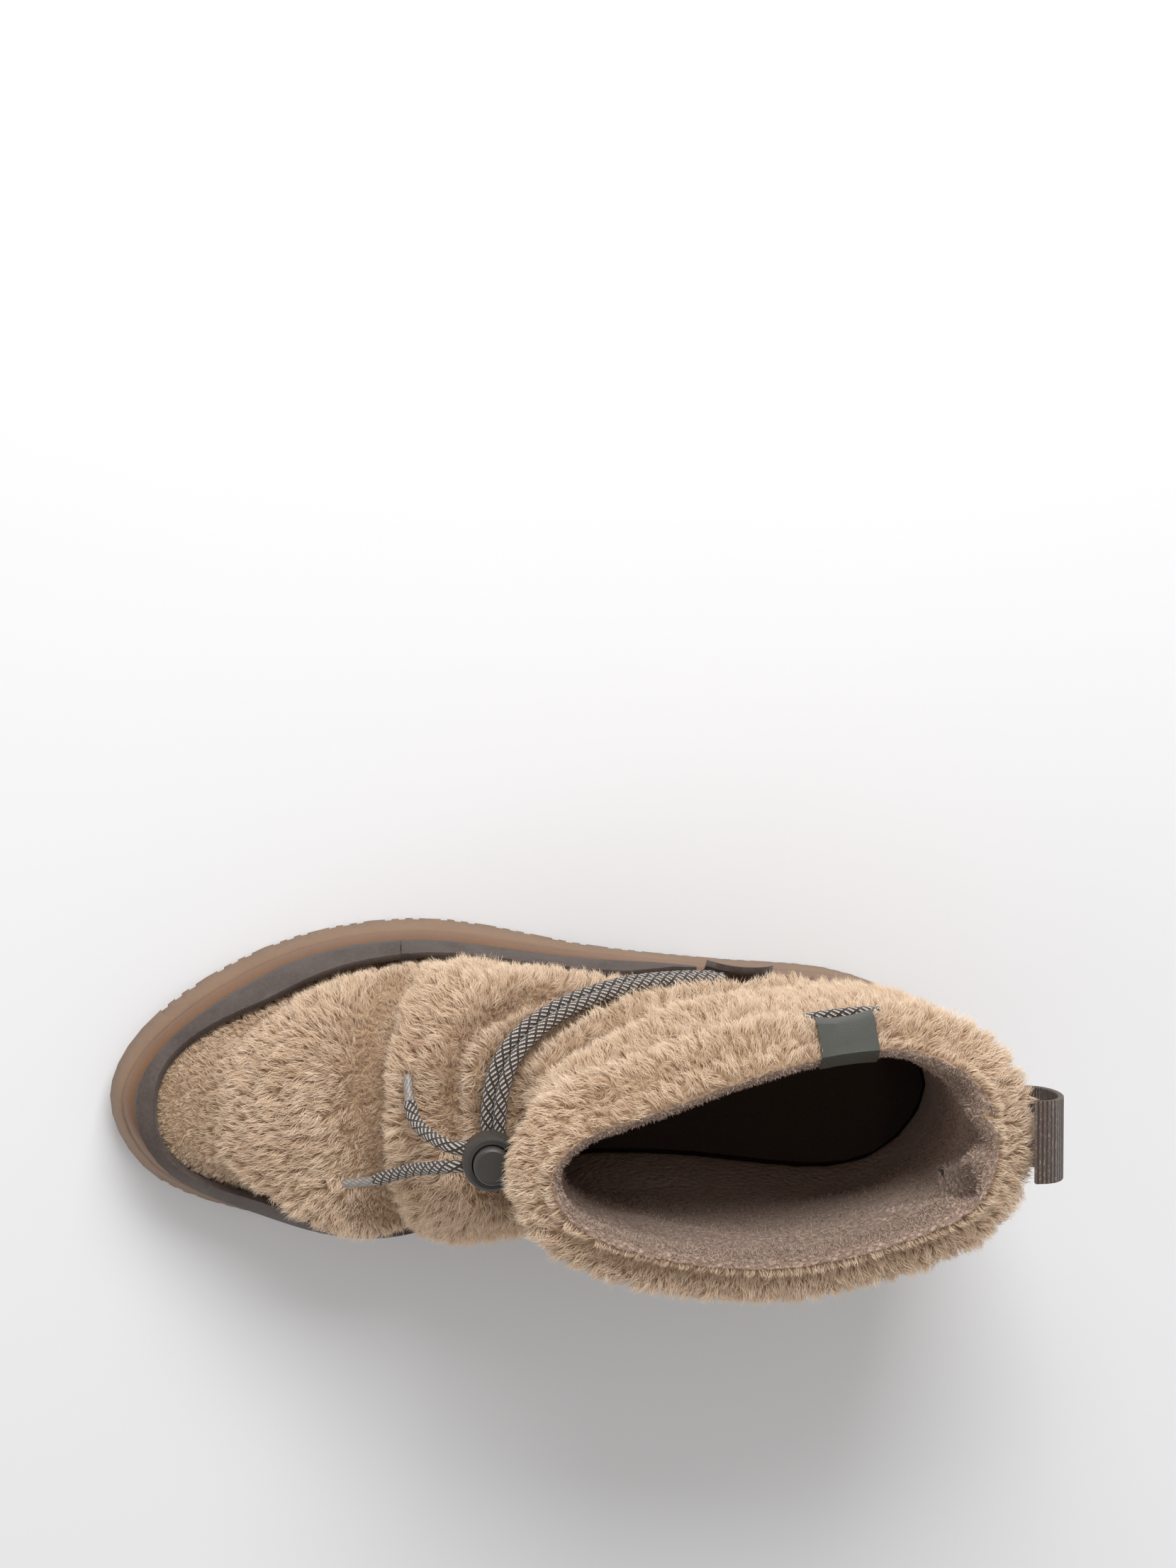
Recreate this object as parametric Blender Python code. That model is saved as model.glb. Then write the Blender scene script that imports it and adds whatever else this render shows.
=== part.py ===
"""Quilted faux-fur winter ankle boot, right foot, standing on its sole.

X runs from the heel to the toe, Y towards the inner (medial) side, Z up from the floor.
The upper is lofted fold by fold: each row of the folds table is an arc over the foot,
from the suede edge on one side to the other, or a ring round the shaft above the heel.
"""

import math
from types import SimpleNamespace

import bmesh
import bpy
import numpy as np

# Overall sizes, in metres
sole_length = 0.280
ball_width = 0.105
shaft_length = 0.1445
shaft_width = 0.0745
shaft_lean = 0.0021
shaft_setback = 0.0007
rim_height = 0.160
instep_height = 0.098
gap = 0.0003
seat_gap = 0.0008
suede_gap = 0.0005

# Outsole
toe_wall_height = 0.021
ball_wall_height = 0.023
heel_wall_height = 0.031
toe_spring = 0.009
arch_rise = 0.005
toe_flare = 0.0080
ball_flare = 0.0052
heel_flare = 0.0015
lip_width = 0.0032
lateral_belly = 0.0008
medial_belly = 0.0065
cup_depth = 0.006
tread_pitch = 0.0186
tread_depth = 0.0026
tread_notch = 0.0022
tread_tooth = 0.0024
side_relief = 0.0012

# Upper and what lies on it
lining_wall = 0.0050
suede_thickness = 0.0020
suede_edge_height = 0.021
insole_thickness = 0.004
insole_margin = 0.0015
heel_puff = 0.0025
lateral_tuck = 0.045
medial_tuck = 0.018

# Where the suede pieces end, measured forward from the heel
suede_back_end = 0.088
suede_seam = 0.184
keeper_front = 0.0855
keeper_back = 0.0635
keeper_flare = 0.0052
strap_foot = 0.09

# Cords and their stopper
cord_diameter = 0.0041
tip_diameter = 0.0031
cord_rest = 0.0018
stopper_diameter = 0.0175
stopper_height = 0.0150
button_diameter = 0.0115
button_travel = 0.0035
button_proud = 0.0048
button_clearance = 0.0004
slot_height = 0.0042
slot_play = 0.0010
stopper_edge = 0.0010
stopper_stand = 0.0090
stopper_side = 0.0086
stopper_rise = 0.1105
free_end = 0.040

# Loops on the collar
side_loop_width = 0.0180
side_loop_place = 0.056
side_loop_leather = 0.0014
pull_width = 0.025
pull_tape = 0.0018
pull_reach = 0.0113
pull_drop = 0.034

# Steps of the lofts
toe_columns = 19
sole_columns = 33

# The foot edge of the sole, heel to toe: x by sole length, y by half the ball width
sole_outline = (
    ("heel back", 0.000, -0.01),
    ("heel lateral corner", 0.045, -0.46),
    ("heel lateral", 0.140, -0.69),
    ("waist lateral", 0.285, -0.765),
    ("arch lateral", 0.440, -0.87),
    ("ball lateral", 0.630, -1.035),
    ("little toe", 0.800, -0.89),
    ("toe lateral", 0.945, -0.45),
    ("toe tip", 1.000, 0.06),
    ("toe medial", 0.950, 0.58),
    ("big toe", 0.820, 0.86),
    ("ball medial", 0.680, 0.955),
    ("arch medial", 0.530, 0.74),
    ("waist medial", 0.390, 0.60),
    ("heel medial", 0.150, 0.70),
    ("heel medial corner", 0.045, 0.47),
)

# The shaft from above, about its centre: x by half its length, y by half its width
shaft_outline = (
    ("back", -1.000, 0.00),
    ("back lateral corner", -0.965, -0.47),
    ("back lateral turn", -0.854, -0.74),
    ("back lateral", -0.700, -0.90),
    ("side lateral", -0.500, -1.00),
    ("middle lateral", -0.100, -1.00),
    ("front lateral", 0.320, -0.93),
    ("tongue lateral", 0.700, -0.66),
    ("tongue corner", 0.900, -0.40),
    ("tongue", 0.975, 0.10),
    ("tongue medial", 0.910, 0.50),
    ("tongue medial turn", 0.770, 0.71),
    ("front medial", 0.510, 0.895),
    ("side medial", 0.080, 1.00),
    ("back medial", -0.300, 0.93),
    ("back medial turn", -0.710, 0.69),
    ("back medial corner", -0.915, 0.46),
)

# The shaft going up: z by rim height, then length, width and forward shift by the shaft's own
shaft_levels = (
    ("sole", 0.18, 0.90, 0.66, 0.000),
    ("heel", 0.30, 0.98, 0.78, 0.000),
    ("ankle", 0.46, 0.975, 0.93, 0.000),
    ("instep", 0.62, 0.945, 0.97, -0.012),
    ("stopper seat", 0.76, 0.945, 0.97, -0.012),
    ("top groove", 0.85, 0.985, 0.97, 0.000),
    ("rim", 1.00, 0.97, 0.96, 0.000),
)

# Top line of the foot under the fur: x by sole length, z by instep height
foot_profile = (
    ("heel", 0.00, 0.36),
    ("counter", 0.05, 0.62),
    ("ankle", 0.16, 0.90),
    ("shaft", 0.40, 1.04),
    ("instep", 0.560, 0.98),
    ("throat", 0.635, 0.855),
    ("vamp", 0.700, 0.745),
    ("ball", 0.785, 0.60),
    ("toes", 0.870, 0.475),
    ("toe top", 0.925, 0.39),
    ("toe cap", 0.955, 0.32),
    ("toe tip", 0.967, 0.25),
)

# Folds from toe to rim. front_x by sole length and front_z by rim height aim each arc.
# back runs from 0 at the toe to 1 at the heel along the suede edge, then to 2 up to the rim.
# puff is how far the fur stands out before the fold, in rim heights, and tuck how much of
# that the fold takes back. rows is the number of faces from the last fold to this one.
folds = (
    ("suede edge", 0.935, 0.265, 0.12, 0.0, 1.0, 1),
    ("vamp seam", 0.700, 0.500, 0.33, 0.048, 1.0, 8),
    ("instep fold", 0.606, 0.590, 0.655, 0.046, 1.0, 7),
    ("cord groove, front edge", 0.588, 0.622, 0.700, 0.018, 1.0, 2),
    ("cord groove, back edge", 0.560, 0.672, 0.745, 0.000, 1.0, 1),
    ("side fold", 0.552, 0.740, 0.86, 0.022, 0.6, 3),
    ("heel", 0.548, 0.775, 1.00, 0.020, 0.1, 4),
    ("top groove, lower edge", 0.545, 0.836, 1.70, 0.030, 1.0, 3),
    ("top groove, upper edge", 0.545, 0.862, 1.74, 0.000, 1.0, 1),
    ("rim", 0.545, 0.965, 1.955, 0.052, 1.0, 4),
)

# Side of the sole going up: share of the flare, inset by the side's relief, and share of height
sole_steps = (
    ("tread edge", 0.00, 0.85, 0.00),
    ("tread side", 0.00, 0.00, 0.06),
    ("matte band top", 0.44, 0.00, 0.50),
    ("line, lower lip", 0.48, 0.15, 0.535),
    ("line, floor", 0.52, 1.00, 0.56),
    ("line, upper lip", 0.56, 0.15, 0.60),
    ("ridge", 0.70, -0.50, 0.76),
    ("ridge shoulder", 0.92, 0.00, 0.94),
    ("lip", 1.00, 0.65, 1.00),
)

# Free ends of the cord by their length: each point's way from the middle of the slot
upper_end_route = (
    (0.272, -0.088, 0.000),
    (0.320, -0.100, -0.030),
    (0.400, -0.125, -0.120),
    (0.480, -0.165, -0.245),
    (0.545, -0.215, -0.365),
    (0.580, -0.285, -0.450),
    (0.597, -0.360, -0.510),
)
upper_tip_route = (
    (0.600, -0.385, -0.525),
    (0.607, -0.475, -0.570),
    (0.610, -0.563, -0.615),
)
lower_end_route = (
    (0.272, 0.055, 0.000),
    (0.320, 0.062, -0.037),
    (0.400, 0.085, -0.125),
    (0.500, 0.115, -0.275),
    (0.596, 0.153, -0.430),
    (0.720, 0.215, -0.605),
    (0.850, 0.283, -0.765),
)
lower_tip_route = (
    (0.872, 0.290, -0.790),
    (0.990, 0.318, -0.880),
    (1.110, 0.335, -0.935),
)

# Red, green, blue and roughness of each finish
finishes = {
    "gum_rubber": (0.34, 0.20, 0.13, 0.55),
    "faux_fur": (0.66, 0.49, 0.34, 0.95),
    "suede": (0.13, 0.10, 0.09, 0.90),
    "insole_fabric": (0.012, 0.010, 0.009, 0.90),
    "cord": (0.10, 0.07, 0.06, 0.80),
    "clear_tip": (0.38, 0.36, 0.34, 0.35),
    "leather": (0.075, 0.080, 0.070, 0.50),
    "webbing": (0.11, 0.08, 0.06, 0.85),
    "dark_plastic": (0.035, 0.030, 0.025, 0.45),
}


def closed_curve(points, steps=16):
    """Catmull-Rom curve through a ring of points, as a dense closed polyline."""
    ring = np.array(points, float)
    sides = [np.roll(ring, turn, 0)[:, None, :] for turn in (1, 0, -1, -2)]
    return blend_four(*sides, np.linspace(0, 1, steps, endpoint=False)[None, :, None])


def open_curve(points, steps=8):
    """Catmull-Rom curve through points with free ends."""
    line = np.array(points, float)
    line = np.vstack([2 * line[0] - line[1], line, 2 * line[-1] - line[-2]])
    sides = [line[i : len(line) - 3 + i, None, :] for i in range(4)]
    curve = blend_four(*sides, np.linspace(0, 1, steps, endpoint=False)[None, :, None])
    return np.vstack([curve, line[-2:-1]])


def blend_four(a, b, c, d, t):
    square, cube = t * t, t * t * t
    cubic = 2 * b + (c - a) * t + (2 * a - 5 * b + 4 * c - d) * square
    cubic = cubic + (3 * b - a - 3 * c + d) * cube
    return (cubic / 2).reshape(-1, b.shape[-1])


def eased(share):
    """0 to 1 with a soft start and end."""
    t = np.clip(share, 0.0, 1.0)
    return t * t * (3 - 2 * t)


def unit(vectors):
    return vectors / np.linalg.norm(vectors, axis=-1, keepdims=True)


# The plan of the sole and of the upper's wall inside its lip

foot_edge = closed_curve([(x * sole_length, y * ball_width / 2) for _, x, y in sole_outline])


def flare_at(x):
    """How far the sole's side leans in from its foot edge to its lip."""
    share = x / sole_length
    forefoot = (ball_flare - heel_flare) * eased((share - 0.36) / 0.22)
    return heel_flare + forefoot + (toe_flare - ball_flare) * eased((share - 0.72) / 0.25)


def inset_edge(flare_share, inset=0.0):
    """The foot edge moved in by a share of the flare and then by inset, square to itself."""
    along = np.roll(foot_edge, -1, 0) - np.roll(foot_edge, 1, 0)
    inward = unit(np.stack([-along[:, 1], along[:, 0]], 1))
    return foot_edge + (flare_share * flare_at(foot_edge[:, :1]) + inset) * inward


def sides_of(edge):
    """Lateral and medial side of a closed edge, each from heel to toe."""
    back, tip = int(np.argmin(edge[:, 0])), int(np.argmax(edge[:, 0]))
    turned = np.roll(edge, -back, 0)
    middle = (tip - back) % len(edge)
    return turned[: middle + 1], np.vstack([turned[middle:], turned[:1]])[::-1]


def sole_bottom(x):
    """Underside of the sole: flat under heel and ball, raised in the arch and at the toe."""
    share = x / sole_length
    arch = eased((share - 0.27) / 0.13) * (1 - eased((share - 0.42) / 0.12))
    toe = np.clip((share - 0.77) / 0.23, 0, 1) ** 1.8
    return arch_rise * arch + toe_spring * toe


def sole_top(x):
    """Height of the sole's lip."""
    share = x / sole_length
    heel = (heel_wall_height - ball_wall_height) * (1 - eased((share - 0.14) / 0.36))
    toe = (toe_wall_height - ball_wall_height) * eased((share - 0.75) / 0.25)
    return sole_bottom(x) + ball_wall_height + heel + toe


def cup_floor(x):
    return sole_top(x) - cup_depth


wall_lateral, wall_medial = sides_of(inset_edge(1.0, lip_width + gap))
heel_x, toe_x = wall_lateral[0, 0], wall_lateral[-1, 0]
wall_line = np.vstack([wall_lateral, wall_medial[::-1][1:]])
wall_steps = np.linalg.norm(np.diff(wall_line, axis=0), axis=1)
wall_travel = np.concatenate([[0], np.cumsum(wall_steps)])
wall_travel -= wall_travel[len(wall_lateral) - 1]


def travel_at(x, side):
    """Travel round the wall from the toe tip to x: negative laterally, positive medially."""
    half = wall_travel <= 0 if side < 0 else wall_travel >= 0
    order = np.argsort(wall_line[half][:, 0], kind="stable")
    return np.interp(x, wall_line[half][order, 0], wall_travel[half][order])


def wall_plan(travel):
    """The wall's plan point after a travel round it."""
    return np.stack([np.interp(travel, wall_travel, wall_line[:, k]) for k in (0, 1)], -1)


# The body that the fur stands on: a rounded foot melted into a shaft

foot_top = open_curve([(x * sole_length, z * instep_height) for _, x, z in foot_profile])
shaft_ring = closed_curve([(x, y) for _, x, y in shaft_outline])
shaft_turn = np.arctan2(shaft_ring[:, 1], shaft_ring[:, 0])
shaft_order = np.argsort(shaft_turn)
shaft_radius = np.linalg.norm(shaft_ring, axis=1)
shaft_level = np.array([row[1:] for row in shaft_levels])
shaft_middle = heel_x + shaft_setback + shaft_length / 2
stopper_at = (shaft_middle + shaft_length / 2 + stopper_stand, stopper_side, stopper_rise)
melt = 0.005
melt_from = 0.030


def middle_y(x):
    """Y midway between the walls."""
    lateral = np.interp(x, wall_lateral[:, 0], wall_lateral[:, 1])
    medial = np.interp(x, wall_medial[:, 0], wall_medial[:, 1])
    return (lateral + medial) / 2, np.maximum((medial - lateral) / 2, 1e-4)


def foot_reach(points):
    """How far points lie outside the foot, roughly, in metres."""
    x, y, z = points.T
    middle, half = middle_y(x)
    lip = sole_top(x)
    top = np.maximum(np.interp(x, foot_top[:, 0], foot_top[:, 1]), lip + 0.003)
    rise = np.maximum(z - lip, 0) / (top - lip)
    waist = eased(x / (0.12 * sole_length)) * (1 - eased((x / sole_length - 0.50) / 0.35))
    belly = np.where(y < middle, lateral_belly, medial_belly)
    belly = belly * (0.25 + 0.75 * waist) * np.sin(math.pi * np.clip(rise / 0.95, 0, 1))
    side = np.abs(y - middle) / (half + belly * np.clip(half / 0.012 - 1, 0, 1))
    size = (side**2.5 + rise**2.2) ** (1 / 2.35)
    beyond = np.maximum(x - toe_x, heel_x - x)
    past = np.maximum(beyond + gap, (rise - 1) * suede_edge_height)
    return np.where(beyond > 0, past, (size - 1) * np.minimum(half, 0.03))


def shaft_reach(points):
    """How far points lie outside the shaft, roughly, in metres."""
    share = points[:, 2] / rim_height
    long, wide, shift = (np.interp(share, shaft_level[:, 0], shaft_level[:, k]) for k in (1, 2, 3))
    x = (points[:, 0] - shaft_middle - shift * shaft_length) / (long * shaft_length / 2)
    y = (points[:, 1] - shaft_lean) / (wide * shaft_width / 2)
    turn, radius = shaft_turn[shaft_order], shaft_radius[shaft_order]
    edge = np.interp(np.arctan2(y, x), turn, radius, period=2 * math.pi)
    return (np.hypot(x, y) / edge - 1) * 0.04


def body_reach(points):
    """Foot and shaft in one, melted together above the sole's lip."""
    above = points[:, 2] - sole_top(points[:, 0])
    soft = 0.0004 + (melt - 0.0004) * eased(above / melt_from)
    near, far = np.sort(np.stack([foot_reach(points), shaft_reach(points)]), axis=0)
    return near - soft * np.log1p(np.exp(np.clip((near - far) / soft, -30, 0)))


def body_hits(start, directions):
    """Where rays from inside the body leave it."""
    low, high = np.zeros(len(directions)), np.full(len(directions), 0.2)
    for _ in range(28):
        middle = (low + high) / 2
        inside = body_reach(start + directions * middle[:, None]) < 0
        low, high = np.where(inside, middle, low), np.where(inside, high, middle)
    return start + directions * low[:, None]


def outward(points):
    """The body's outward normals."""
    step = 0.0008
    shifts = np.eye(3) * step
    slopes = [body_reach(points + s) - body_reach(points - s) for s in shifts]
    return unit(np.stack(slopes, 1) + 1e-12)


# The skirt: the body's lowest strip, from the cup of the sole to the suede's top edge


def edge_height(x):
    """Height of the suede's top edge."""
    return sole_top(x) + suede_edge_height * (1 - 0.60 * eased((x / sole_length - 0.78) / 0.16))


def skirt(travel, share, offset=0.0):
    """Points on the body by travel round it; share 0 is the sole's lip and 1 the suede edge."""
    plan = wall_plan(travel)
    lip = sole_top(plan[:, 0])
    drop = cup_depth - seat_gap
    rise = np.where(share < 0, drop * share, (edge_height(plan[:, 0]) - lip) * share)
    inner_x = np.clip(plan[:, 0], heel_x + 0.030, toe_x - 0.040)
    start = np.stack([inner_x, middle_y(inner_x)[0], lip + rise], 1)
    aim = np.column_stack([plan, lip + rise])
    points = body_hits(start, unit(aim - start))
    normal = outward(points)
    normal[:, 2] *= eased(share / 0.8)
    return points + unit(normal) * np.reshape(offset, (-1, 1))


def covered(x):
    """1 where suede covers the skirt, 0 behind it at the heel."""
    return eased((x - keeper_back + 0.012) / 0.010)


def skirt_puff(travel, share):
    """How far the fur stands out on the uncovered skirt at the heel."""
    return heel_puff * (1 - covered(wall_plan(travel)[:, 0])) * eased(np.maximum(share, 0) / 0.6)


# Rows of the upper, toe to rim


def make_rows():
    """One entry for each row: its aim at the front, its place at the back and its puff."""
    rows = []
    last, held = None, 1.0
    for name, front_x, front_z, back, puff, tuck, count in folds:
        here = np.array([front_x * sole_length, front_z * rim_height, back])
        last = here if last is None else last
        for step in range(1, count + 1):
            share = step / count
            x, z, place = last + (here - last) * share
            if back == 1:
                place = last[2] + (back - last[2]) * math.sin(share * math.pi / 2)
            drawn_in = (held if share < 0.5 else tuck) * (1 - abs(math.sin(math.pi * share)) ** 0.6)
            rows.append(SimpleNamespace(fold=name, x=x, z=z, back=place,
                                        puff=puff * rim_height * (1 - drawn_in)))
        last, held = here, tuck
    return rows


fold_rows = make_rows()


def evenly(points, count):
    """The same line in count equal steps."""
    travel = np.concatenate([[0], np.cumsum(np.linalg.norm(np.diff(points, axis=0), axis=1))])
    at = np.linspace(0, travel[-1], count + 1)
    return np.stack([np.interp(at, travel, points[:, k]) for k in range(3)], 1)


def row_points(row):
    """A row's points on the body, lateral to medial, and whether it is a closed ring."""
    columns = 2 * toe_columns
    place_x = toe_x + (heel_x - toe_x) * min(row.back, 1.0)
    ends = [travel_at(place_x, side) for side in (-1, 1)]
    if row is fold_rows[0]:
        travel = np.linspace(ends[0], ends[1], columns + 1)
        return skirt(travel, np.ones(columns + 1)), False
    corner = skirt(np.array(ends), np.ones(2))
    ring = row.back >= 1
    if ring:
        base = float(edge_height(heel_x))
        corner[:] = corner.mean(0)
        corner[:, 2] = base + (rim_height - base) * (row.back - 1)
    middle = corner.mean(0)
    front = np.array([row.x, 0.35 * middle[1], row.z])
    start = middle + 0.42 * (front - middle)
    ahead = unit(front - start)
    halves = []
    for end, sign in zip(corner, (-1, 1)):
        reach = unit(end - start)
        side = np.array([0.0, sign, 0.0]) if ring else reach - ahead * (reach @ ahead)
        turn = math.pi if ring else math.acos(np.clip(reach @ ahead, -1, 1))
        angle = np.linspace(turn, 0, 6 * toe_columns + 1)[:, None]
        points = body_hits(start, np.cos(angle) * ahead + np.sin(angle) * unit(side))
        if not ring:
            points[0] = end
        halves.append(evenly(points, toe_columns))
    return np.vstack([halves[0], halves[1][::-1][1:]]), ring


def pinch(points):
    """How much the leather loop presses the collar's fur flat."""
    near = np.exp(-(((points[:, 0] - side_loop_place) / (side_loop_width * 0.72)) ** 4))
    return 1 - 0.55 * near * (points[:, 1] < 0)


def dent(points):
    """How much the cord stopper presses into the fur behind it."""
    across = points[:, 1] - stopper_at[1]
    up = points[:, 2] - stopper_at[2] - stopper_height / 2
    near = np.exp(-((np.hypot(across, up) / (0.9 * stopper_diameter)) ** 4))
    return 1 - 0.9 * near * (points[:, 0] > shaft_middle)


def fur_depth(row, points, ring):
    """How far the fur stands out along a row; it tucks under the suede at its ends."""
    depth = np.full(len(points), row.puff)
    if row.fold == "rim":
        depth *= pinch(points)
    else:
        depth *= dent(points)
    if not ring:
        travel = np.concatenate([[0], np.cumsum(np.linalg.norm(np.diff(points, axis=0), axis=1))])
        hold = covered(points[[0, -1], 0]).mean()
        lateral = eased(travel / lateral_tuck)
        medial = eased((travel[-1] - travel) / medial_tuck)
        depth *= np.minimum(lateral, medial) ** 0.6 * hold + 1 - hold
        depth += (1 - hold) * heel_puff * (1 - np.minimum(lateral, medial))
    return depth


def make_wall():
    """The fur's outer points and the lining's points, row by row."""
    wall = SimpleNamespace(body=[], fur=[], lining=[], normal=[])
    for row in fold_rows:
        points, ring = row_points(row)
        normal = outward(points)
        wall.body.append(points)
        wall.normal.append(normal)
        wall.fur.append(points + normal * fur_depth(row, points, ring)[:, None])
        wall.lining.append(points - normal * lining_wall)
    return wall


wall = make_wall()


def skirt_ring():
    """Travel of each column of the skirt: lateral heel round the toe to the medial heel."""
    xs = [toe_x + (heel_x - toe_x) * row.back for row in fold_rows[1:] if row.back < 1]
    first = toe_x + (heel_x - toe_x) * fold_rows[0].back
    front = np.linspace(travel_at(first, -1), travel_at(first, 1), 2 * toe_columns + 1)
    lateral = [travel_at(x, -1) for x in xs[::-1]]
    medial = [travel_at(x, 1) for x in xs]
    return np.concatenate([[wall_travel[0]], lateral, front, medial])


# Making objects

parts = bpy.data.collections.new("winter_boot")
cutters = bpy.data.collections.new("winter_boot_cutters")


def finish_of(name):
    """The material of one finish."""
    if name in bpy.data.materials:
        return bpy.data.materials[name]
    red, green, blue, rough = finishes[name]
    material = bpy.data.materials.new(name)
    material.use_nodes = True
    shader = material.node_tree.nodes["Principled BSDF"]
    shader.inputs["Base Color"].default_value = (red, green, blue, 1)
    shader.inputs["Roughness"].default_value = rough
    material.diffuse_color = (red, green, blue, 1)
    return material


def add_object(name, mesh, finish, collection=None):
    mesh.name = name
    item = bpy.data.objects.new(name, mesh)
    (collection or parts).objects.link(item)
    if finish:
        mesh.materials.append(finish_of(finish))
    return item


def mesh_of(points, faces, merge=2e-6, sharp=35):
    """A closed mesh from points and faces, with its seams merged and its faces out."""
    mesh = bpy.data.meshes.new("shape")
    mesh.from_pydata([tuple(map(float, p)) for p in points], [], faces)
    shape = bmesh.new()
    shape.from_mesh(mesh)
    bmesh.ops.remove_doubles(shape, verts=shape.verts, dist=merge)
    bmesh.ops.recalc_face_normals(shape, faces=shape.faces)
    shape.to_mesh(mesh)
    shape.free()
    mesh.shade_smooth()
    mesh.set_sharp_from_angle(angle=math.radians(sharp))
    return mesh


def strip_faces(first, second, count, closed=False):
    """Quads between two rows of points that start at these indices."""
    last = count if closed else count - 1
    return [(first + i, first + (i + 1) % count, second + (i + 1) % count, second + i)
            for i in range(last)]


def loft(rows, closed=True, round_trip=False):
    """Quads through rows of equal length; round_trip also joins the last row to the first."""
    count = len(rows[0])
    pairs = [(k, k + 1) for k in range(len(rows) - 1)]
    pairs += [(len(rows) - 1, 0)] if round_trip else []
    faces = []
    for a, b in pairs:
        faces += strip_faces(a * count, b * count, count, closed)
    return np.vstack(rows), faces


def make_outsole():
    """Cup sole: stepped sides, a lip round a recess for the upper, and a notched tread."""
    turn = np.linspace(0, math.pi, sole_columns)
    shares = (1 - np.cos(turn)) / 2

    def ring(flare_share, inset, height):
        lateral, medial = sides_of(inset_edge(flare_share, inset))
        x = lateral[0, 0] + shares * (lateral[-1, 0] - lateral[0, 0])
        left = np.interp(x, lateral[:, 0], lateral[:, 1])
        right = np.interp(x, medial[:, 0], medial[:, 1])
        plan = np.vstack([np.stack([x, left], 1), np.stack([x, right], 1)[-2:0:-1]])
        return np.column_stack([plan, height(plan[:, 0])])

    rings = [ring(lean, depth * side_relief, lambda x, share=share:
                  sole_bottom(x) + share * (sole_top(x) - sole_bottom(x)))
             for _, lean, depth, share in sole_steps]
    rings.append(ring(1.0, lip_width, sole_top))
    rings.append(ring(1.0, lip_width, cup_floor))
    points, faces = loft(rings)
    count = len(rings[0])
    for start in (0, (len(rings) - 1) * count):
        for i in range(sole_columns - 1):
            left, right = i, (count - i) % count
            far_right = (count - i - 1) % count
            corners = (left, left + 1, far_right, right) if i else (left, left + 1, far_right)
            corners = corners if i < sole_columns - 2 else (left, left + 1, right)
            faces.append(tuple(start + c for c in corners))
    return add_object("outsole", mesh_of(points, faces), "gum_rubber")


def make_notches():
    """Bars that cut the tread: three notches and two small teeth to each lug."""
    shape = bmesh.new()
    reach = tread_depth + 0.004
    starts = np.arange(0.011, sole_length - 0.012, tread_pitch)
    for start in starts:
        for step in range(3):
            x = start + step * (tread_notch + tread_tooth)
            if x > sole_length - 0.008:
                continue
            made = bmesh.ops.create_cube(shape, size=1.0)["verts"]
            bmesh.ops.scale(shape, verts=made, vec=(tread_notch, ball_width * 1.3, reach))
            top = float(sole_bottom(x)) + tread_depth
            bmesh.ops.translate(shape, verts=made, vec=(x, 0, top - reach / 2))
    mesh = bpy.data.meshes.new("notches")
    shape.to_mesh(mesh)
    shape.free()
    bars = add_object("notch_bars", mesh, None, cutters)
    bars.hide_render = True
    bars.display_type = "WIRE"
    return bars


def make_upper():
    """One hollow padded wall, open at the collar and, under the foot, at the sole."""
    travel = skirt_ring()
    levels = (-1.0, 0.0, 0.5, 1.0)
    outer, inner = [], []
    for level in levels:
        share = np.full(len(travel), level)
        outer.append(skirt(travel, share, skirt_puff(travel, share)))
        inner.append(skirt(travel, share, -lining_wall))
    points, faces = loft(inner[::-1] + outer)
    fur, lining = wall.fur, wall.lining
    opened = [i for i, row in enumerate(fold_rows) if row.back < 1]
    ring_count = len(travel)
    fur = [row.copy() for row in fur]
    first = len(opened) - 1
    for k in opened[1:]:
        for rows, ring in ((fur, outer[-1]), (lining, inner[-1])):
            rows[k][0] = ring[1 + first - k]
            rows[k][-1] = ring[ring_count - 1 - (first - k)]
    for rows, ring in ((fur, outer[-1]), (lining, inner[-1])):
        rows[0][:] = ring[1 + first : 1 + first + 2 * toe_columns + 1]
        heel_row = opened[-1] + 1
        rows[heel_row][0] = rows[heel_row][-1] = ring[0]
    crown = (fur[-1] + lining[-1]) / 2 + np.array([0, 0, rim_height - fur[-1][:, 2].mean()])
    shell = fur + [crown] + lining[::-1]
    more, over = loft(shell, closed=False)
    base = len(points)
    faces += [tuple(base + i for i in face) for face in over]
    points = np.vstack([points, more])
    return add_object("upper", mesh_of(points, faces, merge=1e-5, sharp=60), "faux_fur")


def strap_on_skirt(name, travel, top, inner_lift, finish, steps=(0.0, 0.5, 1.0)):
    """A flat piece lying on the skirt between two ends; top is its height share by column."""
    rows = []
    for lift, order in ((suede_thickness, steps), (0.0, steps[::-1])):
        for step in order:
            share = strap_foot + (top - strap_foot) * step
            rows.append(skirt(travel, share, suede_gap + lift + inner_lift * step**1.5))
    points, faces = loft(rows, closed=False, round_trip=True)
    count = len(travel)
    loop = len(rows)
    faces.append(tuple(k * count for k in range(loop)))
    faces.append(tuple(k * count + count - 1 for k in range(loop))[::-1])
    return add_object(name, mesh_of(points, faces), finish)


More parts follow.
